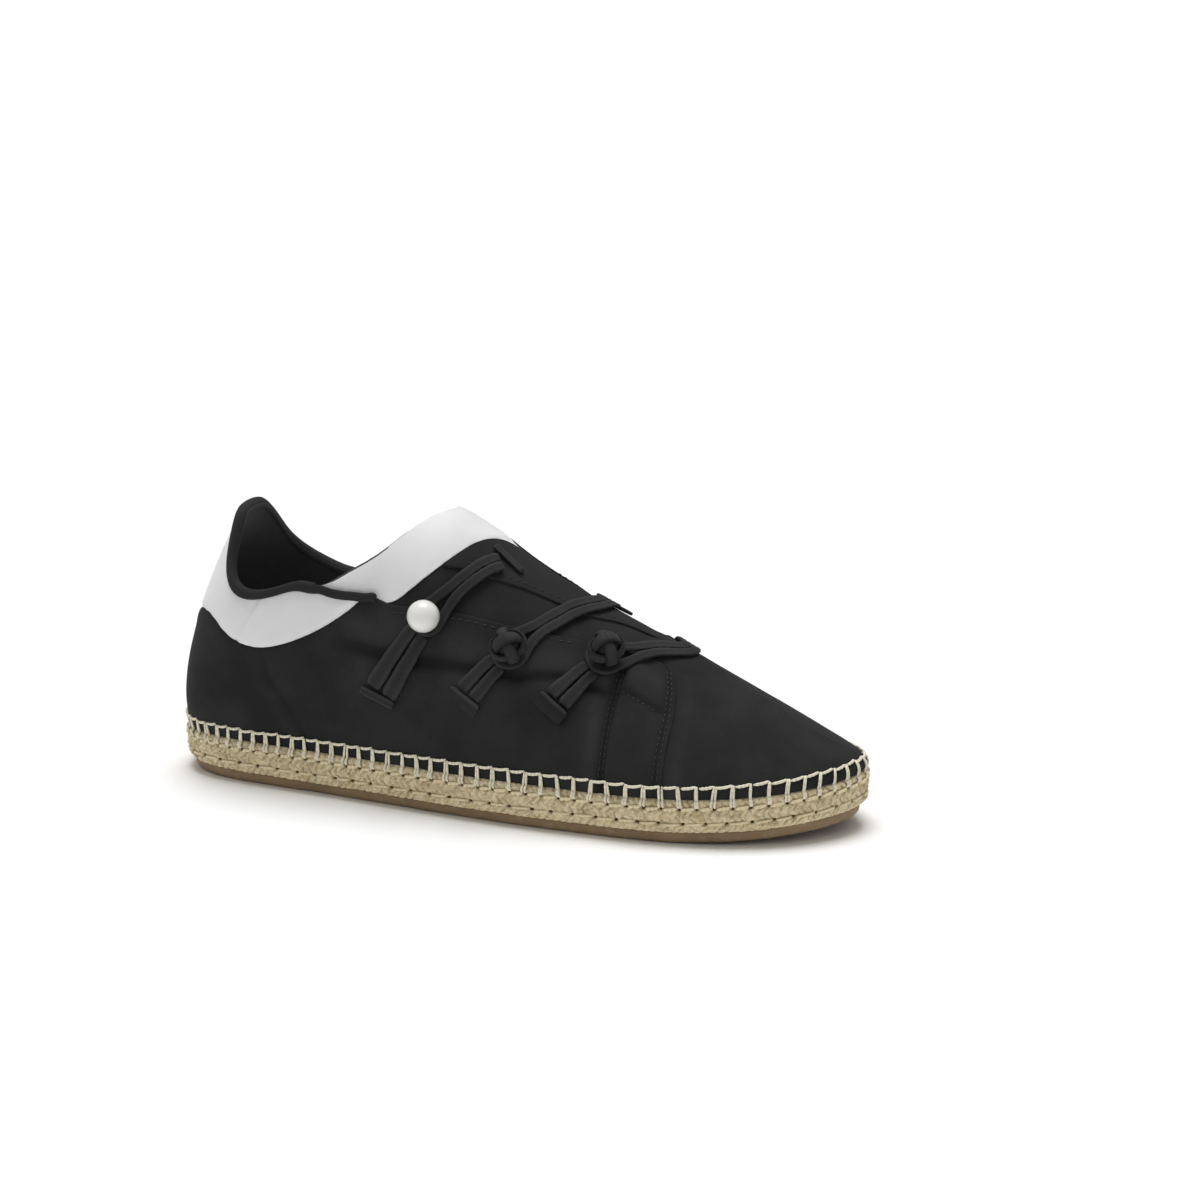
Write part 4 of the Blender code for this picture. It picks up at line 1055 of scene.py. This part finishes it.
FOLD, FOLD_REACH, FOLD_THICK, FOLD_HIGH = -47.2, 2.6, 0.8, 1.4  # the fold's station, reach and extra size
FLAT_STATIONS = np.concatenate([np.linspace(BINDING_END, -75.5, 26), [-76.2, -77, -77.8, -78.5, -79.2, -80]])


def highest_step(stations, across):
    """The upper's highest panel close to each place: what anything sewn over it rests on."""
    stations, across = np.broadcast_arrays(stations, across)
    highest = np.zeros(stations.shape)
    for along in (-4, 0, 4):
        k = np.round(turn(stations + along) * (len(FINE_TURNS) - 1)).astype(int)
        for side in (-1, 1):
            rises, heights = (part[:, k] for part in PANELS[side])
            for beside in (-0.05, 0, 0.05):
                nearby = 1 - side * across + beside
                panel = np.clip((rises[1:5] < nearby).sum(0), 0, 4)
                found = np.take_along_axis(heights, panel[None], 0)[0]
                highest = np.maximum(highest, np.where((nearby >= 0) & (nearby <= 1), found, 0))
    return highest


def binding_ring(u, side):
    """The tape's section at a turn, blended from those drawn next to it."""
    x, edge = float(station_of(u)), float(top_rise(u, side))
    if x > -75:
        edge = min(edge, float(line(LOWER[side], u)))
    across = side * (1 - edge)
    lift = highest_step(x, across + side * 0.03) if x > -76 else 0.0
    out, up = normal(u, across), unit(skin(u, across) - skin(u, across + side * 0.02))
    depth, height = ([np.interp(x, sorted(BINDING), column) for column in drawn.T] for drawn in SECTIONS)
    fold = hill(x - FOLD, FOLD_REACH)
    thick = np.outer(depth, out) * (1 + FOLD_THICK * fold)
    return skin(u, across) + out * lift + thick + np.outer(np.add(height, FOLD_HIGH * fold), up)


def smoothed(made, levels=1):
    """Rounds a piece by subdividing it, and keeps the result."""
    made.modifiers.new("round", "SUBSURF").levels = levels
    bpy.context.view_layer.update()
    ready = made.evaluated_get(bpy.context.evaluated_depsgraph_get())
    data = bpy.data.meshes.new_from_object(ready)
    made.modifiers.clear()
    made.data = data
    data.shade_smooth()


tape = cloth("binding tape", 34, 46, 0.55, 0.12, 0.8, (0.2, 0.03, 0.4))
turns = np.concatenate([turn(FLAT_STATIONS), np.linspace(turn(-82), 0, 80)])
rings = [binding_ring(u, -1) for u in turns] + [binding_ring(u, 1) for u in turns[-2::-1]]
rings = np.array(rings)
laid = laid_out(run_along(rings[:, 2])[:, None], np.arange(rings.shape[1]) * 1.4)
zones = np.zeros((len(rings) - 1, rings.shape[1]), int)
zones[len(FLAT_STATIONS) : -len(FLAT_STATIONS), INNER_EDGE] = 1
zones = [*zones.ravel(), 0, 0]
smoothed(piece("binding", rings, None, [tape, lining], "cotton", ["collar_binding"], zones, lay=laid))

# ---------------------------------------------------------------- heel tab
# A small plain loop of the binding tape, pressed flat and sewn to the back of the heel.

rings = []
for u in np.linspace(-0.024, 0.024, 11):
    edge = 0.25 * (abs(u) > 0.023)
    low, high = 72.0 + edge, 79.0 - edge
    heights = (low + 0.1, high - 0.1, high, high - 0.6, 75.5, low + 0.6, low)
    depths = np.array([0.35, 0.35, 0.9, 1.35, 1.25, 1.35, 0.9])[:, None]
    across = np.array([rise_at(abs(u), -1, height) for height in heights]) - 1
    rings.append(skin(u, across) + normal(u, across) * depths)
rings = np.array(rings)
smoothed(piece("heel_loop", rings, None, [tape], "cotton", ["heel_tab"], lay=rings), 2)

# ---------------------------------------------------------------- frog fastenings
# Flat tubes of the black cotton. From a bar by the ridge two cords run side by side to the button, round its
# foot and back; two tapes hold the button's other side and end under a folded bar. The first button is a
# glazed pearl, the others are balls woven of the same tube.

# Places on the last as station and across. Reach is the loop's radius, and tail a tape's width at its ends.
FROGS = {
    "frog_1": {
        "anchor": ((-7.6, -0.122), (4.2, -0.152)),
        "route": ((-3.4, -0.18), (-5.6, -0.215), (-9.2, -0.281), (-12.6, -0.347), (-15.6, -0.397)),
        "foot": (-23.0, -0.517),
        "reach": 5.0,
        "bar": ((-48.4, -0.775), (-34.2, -0.803)),
        "tail": (4.9, 6.7),
    },
    "frog_2": {
        "anchor": ((26.8, 0.154), (42.1, 0.077)),
        "route": (
            (34.3, 0.085), (33.0, 0.0), (30.4, -0.085), (26.7, -0.157),
            (22.6, -0.248), (18.2, -0.33), (14.6, -0.387),
        ),
        "foot": (9.0, -0.489),
        "reach": 5.7,
        "bar": ((-11.8, -0.696), (0.3, -0.734)),
        "tail": (4.2, 5.3),
    },
    "frog_3": {
        "anchor": ((50.6, 0.29), (62.7, 0.386)),
        "route": (
            (58.2, 0.29), (63.2, 0.18), (66.6, 0.06), (66.2, -0.045),
            (62.2, -0.10), (57.1, -0.176), (52.6, -0.25),
        ),
        "foot": (42.5, -0.350),
        "reach": 5.7,
        "bar": ((22.6, -0.596), (33.8, -0.654)),
        "tail": (3.9, 5.6),
    },
}
RIB_LENGTH = 95.0
LIFT = 0.35  # clearance of the fastenings over the upper
CORD_WIDTH, CORD_HEIGHT, CORD_SPREAD = 3.9, 1.8, 2.0
BAR_WIDTH, BAR_HEIGHT, TAPE_HEIGHT = 3.0, 2.2, 1.5
TOP_BAR_WIDTH, TOP_BAR_HEIGHT, TOP_BAR_SUNK = 2.6, 1.6, 1.1
PEARL_RADIUS, PEARL_LIFT, KNOT_RADIUS, KNOT_LIFT, SHANK_RADIUS = 6.1, 1.8, 5.3, 2.6, 1.5
BAND_WIDTH, BAND_HEIGHT, BAND_SIDES, WEAVE = 4.3, 1.9, 14, 0.72  # a knot's bands, and how far they weave
BAR_STEPS, TAPE_STEPS, CORD_STEPS, BRIDGE_STEPS = 16, 26, 44, 11
END_BAND = (  # section of a folded tape end: away from the tapes, up, and how pale it is painted, as a painted highlight on the rolled edge and painted shade in its crease, on the hem and underneath
    (-1.4, -1.2, -0.9), (-1.5, -0.3, 0.2), (-1.3, 0.4, 0.9), (-0.9, 0.7, 1.0),
    (-0.4, 0.6, 0.8), (0.0, 0.0, -0.7), (1.2, -0.5, -0.5), (2.6, -0.9, -0.3),
    (3.9, -1.25, -0.2), (4.6, -1.55, -0.3), (4.4, -1.8, -0.6), (1.5, -1.8, -0.9),
)

tube = cloth("cotton tube", 31, 50, 0.5, 0.16, 0.74, (0.22, 0.03, 0.4))


def smooth_path(points, count):
    """A curve through given marks on the last, read at even spacing (Catmull-Rom)."""
    points = np.array(points, float)
    padded = np.vstack([2 * points[0] - points[1], points, 2 * points[-1] - points[-2]])
    t = np.linspace(0, 1, 12, endpoint=False)[:, None]
    fine = []
    for p0, p1, p2, p3 in zip(padded, padded[1:], padded[2:], padded[3:]):
        bend = (2 * p0 - 5 * p1 + 4 * p2 - p3) * t**2 + (3 * p1 - p0 - 3 * p2 + p3) * t**3
        fine.append(0.5 * (2 * p1 + (p2 - p0) * t + bend))
    fine = np.vstack([*fine, points[-1:]])
    run = run_along(fine * (1, RIB_LENGTH))
    return np.stack([np.interp(np.linspace(0, run[-1], count), run, column) for column in fine.T], -1)


def laid_path(marks, height):
    """Path of something sewn over the upper, with its normals. It bridges the steps it crosses."""
    places = np.linspace(0, len(marks) - 1, BRIDGE_STEPS).round().astype(int)
    rests = np.interp(np.arange(len(marks)), places, highest_step(*marks[places].T))
    u, across = turn(marks[:, 0]), marks[:, 1]
    out = normal(u, across)
    return skin(u, across) + out * (rests + LIFT + height / 2)[:, None], out


def end_band(name, path, outs, away, nodes):
    """The folded end of two tapes: a rolled edge over them, and a flat hem sewn down beyond it."""
    across, _ = ribbon(path, outs)
    across = across * np.sign((across @ away).sum())
    share = np.linspace(-1, 1, len(path))
    full = (1 - 0.16 * np.abs(share) ** 8)[:, None, None]
    beyond, up, pale = np.array(END_BAND).T
    up = up + 0.12 * np.sin(share * 7)[:, None] * np.clip(beyond / 4, 0, 1)
    points = path[:, None] + full * (beyond[:, None] * across[:, None] + up[..., None] * outs[:, None])
    # Painted light: the rolled edge is paled as a highlight and the crease, hem and underside are darkened as
    # shade.
    laid, raised = laid_out(share[:, None] * 7, beyond), np.tile(pale, len(path))
    smoothed(piece(name, points, None, [tube], "cord", nodes, lay=laid, raised=raised))


def flat_tube(name, path, outs, widths, heights, node, sides=16, fold=0.0):
    """One flat tube of cotton that stands for a node of the frame, dished a little between rolled edges."""
    across, up = ribbon(path, outs)
    spin = circle(sides)
    c, s = np.cos(spin), np.sin(spin)
    s = np.sign(s) * np.abs(s) ** 0.65 * (1 - 0.2 * hill(c, 0.34))
    c = np.sign(c) * np.abs(c) ** 0.75
    run = run_along(path)[:, None]
    crease = 1 + (0.04 * np.sin(run * 1.9 + c * 2) + 0.05 * np.sin(run * 0.63 + c)) * fold
    wide, high = (np.broadcast_to(size, len(path))[:, None] / 2 for size in (widths, heights))
    ring = (wide * c * crease)[..., None] * across[:, None] + (high * s * crease)[..., None] * up[:, None]
    full = np.ones((len(path), 1, 1))
    full[:2, 0, 0], full[-2:, 0, 0] = (0.82, 0.96), (0.96, 0.82)
    points = path[:, None] + ring * full
    # Painted light and shade: the rolled edges are paled as highlights, and the dished middle and the
    # underside are darkened as shade.
    pale = 0.8 * hill(np.abs(c) - 0.75, 0.2) - 0.6 * hill(c, 0.3)
    raised = np.tile(np.where(np.sin(spin) > 0.05, pale, -0.9), len(path))
    laid = laid_out(run, spin * np.mean(widths) / 3)
    piece(name, points, None, [tube], "cord", [node], lay=laid, raised=raised)


def foot_frame(mark):
    """Centre, outward normal and two tangents of the last at a mark."""
    u, across = turn(mark[0]), mark[1]
    out = normal(u, across)
    along = unit(np.cross(out, [0, 1.0, 0]))
    return skin(u, across), out, along, np.cross(out, along)


def cord_loop(name, foot, route, reach):
    """One cord out from the anchor, round the button's foot and back beside itself."""
    centre, out, _, _ = foot_frame(foot)
    middle, outs = laid_path(smooth_path(route, CORD_STEPS), CORD_HEIGHT)
    side = ribbon(middle, outs)[0]
    heading = middle[-1] - centre
    heading = unit(heading - out * heading.dot(out))
    left = np.cross(heading, out)
    opening = math.asin(CORD_SPREAD / reach) + 0.45
    angles = np.linspace(opening, 2 * math.pi - opening, 36)[:, None]
    raised = centre + out * (LIFT + CORD_HEIGHT / 2 + 0.3)
    ring = raised + reach * (heading * np.cos(angles) + left * np.sin(angles))
    spread = np.sign(side[-1].dot(left)) * side * CORD_SPREAD
    path = np.vstack([middle + spread, ring, (middle - spread)[::-1]])
    for _ in range(6):
        path[1:-1] = path[1:-1] * 0.5 + (path[:-2] + path[2:]) * 0.25
    outs = np.vstack([outs, np.tile(out, (len(ring), 1)), outs[::-1]])
    flat_tube(name + "_cords", path, outs, CORD_WIDTH, CORD_HEIGHT, name + "_loop", fold=1.0)


def ball_mesh(centre, radius, out, along, across, rows, around):
    """A ball on a short shank that reaches down to the upper."""
    polar = np.linspace(math.asin(SHANK_RADIUS / radius), math.pi, rows)
    heights = np.concatenate([[LIFT - centre, LIFT - centre + 0.4], -radius * np.cos(polar)])
    widths = np.concatenate([[SHANK_RADIUS * 1.3, SHANK_RADIUS], radius * np.sin(polar)])
    spin = circle(around)[:, None]
    spoke = np.cos(spin) * along + np.sin(spin) * across
    rings = np.array([out * (centre + height) + width * spoke for height, width in zip(heights, widths)])
    return rings.reshape(-1, 3), ring_faces(numbered(rings))[:-1]


glaze = Finish("glazed pearl", Coat_Weight=0.4, Coat_Roughness=0.08, Specular_IOR_Level=0.5)
# Painted shade: the pearl's colour greys towards its rim as seen from the camera.
edge_on = glaze.node("LayerWeight", {}, {"Blend": 0.35}, "Facing")
body = glaze.mix(glaze.noise(60, 3, 0.5), paint(234, 233, 228), paint(248, 247, 242))
glaze.wear(
    Base_Color=glaze.mix(glaze.ramp(edge_on, 0.25, 0.95) * 0.6, body, paint(172, 170, 166)),
    Roughness=0.26 + glaze.noise(900, 2) * 0.08,
)


def woven_ball(name, foot):
    """A ball knot: three flat bands round a core, each over one neighbour and under the other."""
    base, out, along, across = foot_frame(foot)
    height, lean = KNOT_RADIUS + KNOT_LIFT, math.radians(50)
    core, faces = ball_mesh(height, KNOT_RADIUS - 0.6, out, along, across, 24, 32)
    points, laid = [core + base], [core]
    top = unit(out + 0.12 * along - 0.05 * across)
    tilted = math.cos(lean) * along + math.sin(lean) * across
    tilted = unit(tilted - top * top.dot(tilted))
    axes = [top, tilted, np.cross(top, tilted)]
    spin = np.linspace(0, 2 * np.pi, 73)
    swing = np.cos(2 * spin)
    for k in range(3):
        spoke = axes[k] * np.cos(spin)[:, None] + axes[(k + 1) % 3] * np.sin(spin)[:, None]
        path = base + out * height + spoke * (KNOT_RADIUS + 0.25 + WEAVE * swing)[:, None]
        band, band_faces, band_laid = threads(path, spoke, BAND_WIDTH + 0.5 * swing, BAND_HEIGHT, BAND_SIDES)
        first = sum(len(part) for part in points)
        faces += [[i + first for i in face] for face in band_faces[:-2]]
        points.append(band)
        laid.append(band_laid)
    # Painted shade and light: the core between the bands and the bands' edges are darkened as shade, and
    # their faces are paled as light.
    edges = np.cos(circle(BAND_SIDES))
    pale = np.tile(0.6 - 1.5 * np.abs(edges) ** 3, 3 * len(spin))
    raised = np.concatenate([np.full(len(core), -1.0), pale])
    points, laid = np.concatenate(points), np.concatenate(laid)
    piece(name + "_ball", points, faces, [tube], "cord", [name + "_knot"], lay=laid, raised=raised)


for name, parts in FROGS.items():
    path, outs = laid_path(smooth_path(parts["anchor"], BAR_STEPS), TOP_BAR_SUNK)
    flat_tube(name + "_top_bar", path, outs, TOP_BAR_WIDTH, TOP_BAR_HEIGHT, name + "_anchor")
    cord_loop(name, parts["foot"], parts["route"], parts["reach"])
    foot, middle = np.array(parts["foot"]), np.mean(parts["bar"], axis=0)
    away = skin(turn(middle[0]), middle[1]) - skin(turn(foot[0]), foot[1])
    length = np.linalg.norm(away)
    start = foot + (middle - foot) * (parts["reach"] + 1.0) / length
    end = middle + (foot - middle) * (BAR_WIDTH / 2 + 1.0) / length
    if name == "frog_1":
        base, *axes = foot_frame(foot)
        points, faces = ball_mesh(PEARL_RADIUS + PEARL_LIFT, PEARL_RADIUS, *axes, 56, 72)
        piece("frog_1_button", points + base, faces, [glaze], "pearl", ["frog_1_pearl"])
    else:
        woven_ball(name, foot)
    narrow, wide = parts["tail"]
    widths = np.linspace(narrow, wide, TAPE_STEPS)
    offsets = np.linspace(narrow / 2 + 0.3, wide / 2 + 0.4, TAPE_STEPS)[:, None]
    path, outs = laid_path(smooth_path((start, end), TAPE_STEPS), TAPE_HEIGHT)
    beside = ribbon(path, outs)[0] * offsets
    for letter, shift in (("a", -beside), ("b", beside)):
        names = f"{name}_tape_{letter}", f"{name}_tail_{letter}"
        flat_tube(names[0], path + shift, outs, widths, TAPE_HEIGHT, names[1], 18, 0.6)
    path, outs = laid_path(smooth_path(parts["bar"], BAR_STEPS), BAR_HEIGHT)
    if name == "frog_1":
        flat_tube(name + "_end_bar", path, outs, BAR_WIDTH, BAR_HEIGHT, name + "_bar")
    else:
        end_band(name + "_end_band", path, outs, away, [name + "_bar", name + "_tab"])

# ---------------------------------------------------------------- floor, light and camera
# A pale matt floor under broad soft light from above, and a long lens a little above the shoe.

FLOOR_REACH = 8  # metres
AZIMUTH, ELEVATION, DISTANCE = math.radians(22.33), math.radians(15.52), 1.4974
AIM_HEIGHT = 0.045

floor_data = bpy.data.meshes.new("studio_floor")
corners = [(FLOOR_REACH * x, FLOOR_REACH * y, 0) for x, y in ((-1, -1), (1, -1), (1, 1), (-1, 1))]
floor_data.from_pydata(corners, [], [(0, 1, 2, 3)])
pale = Finish("pale floor", Roughness=0.9)
pale.wear(Base_Color=pale.mix(pale.noise(3, 2), paint(252), paint(254)))
floor_data.materials.append(pale.material)
floor = bpy.data.objects.new("studio_floor", floor_data)
bpy.context.scene.collection.objects.link(floor)

scene = bpy.context.scene
scene.view_settings.view_transform = "Standard"
scene.world = bpy.data.worlds.new("studio")
scene.world.use_nodes = True
sky = scene.world.node_tree.nodes["Background"].inputs
sky["Color"].default_value, sky["Strength"].default_value = (1, 1, 1, 1), 0.33

overhead = bpy.data.lights.new("overhead", "SUN")
overhead.energy, overhead.angle = 2.4, math.radians(38)
lamp = bpy.data.objects.new("overhead", overhead)
lamp.rotation_euler = (math.radians(-9), math.radians(-4), 0)
scene.collection.objects.link(lamp)
softbox = bpy.data.lights.new("softbox", "AREA")
softbox.energy, softbox.size = 0.9, 0.6
lamp = bpy.data.objects.new("softbox", softbox)
facing = Vector((-0.7, -1.1, 1.05)).to_track_quat("Z", "Y").to_matrix().to_4x4()
lamp.matrix_world = Matrix.Translation((-0.7, -1.1, 1.1)) @ facing
scene.collection.objects.link(lamp)

level = math.cos(ELEVATION)
back = Vector((math.sin(AZIMUTH) * level, -math.cos(AZIMUTH) * level, math.sin(ELEVATION)))
right = Vector((math.cos(AZIMUTH), math.sin(AZIMUTH), 0))
turned = Matrix((right, back.cross(right), back)).transposed().to_4x4()
lens = bpy.data.cameras.new("camera")
lens.sensor_width, lens.lens, lens.clip_end = 36, 119.52, 40
lens.shift_x, lens.shift_y = 0.0679, 0.0644
camera = bpy.data.objects.new("camera", lens)
aim = Vector((0, 0, AIM_HEIGHT)) + Vector(STANDS) * MM
camera.matrix_world = Matrix.Translation(aim + back * DISTANCE) @ turned
scene.collection.objects.link(camera)
scene.camera = camera

bpy.context.view_layer.update()
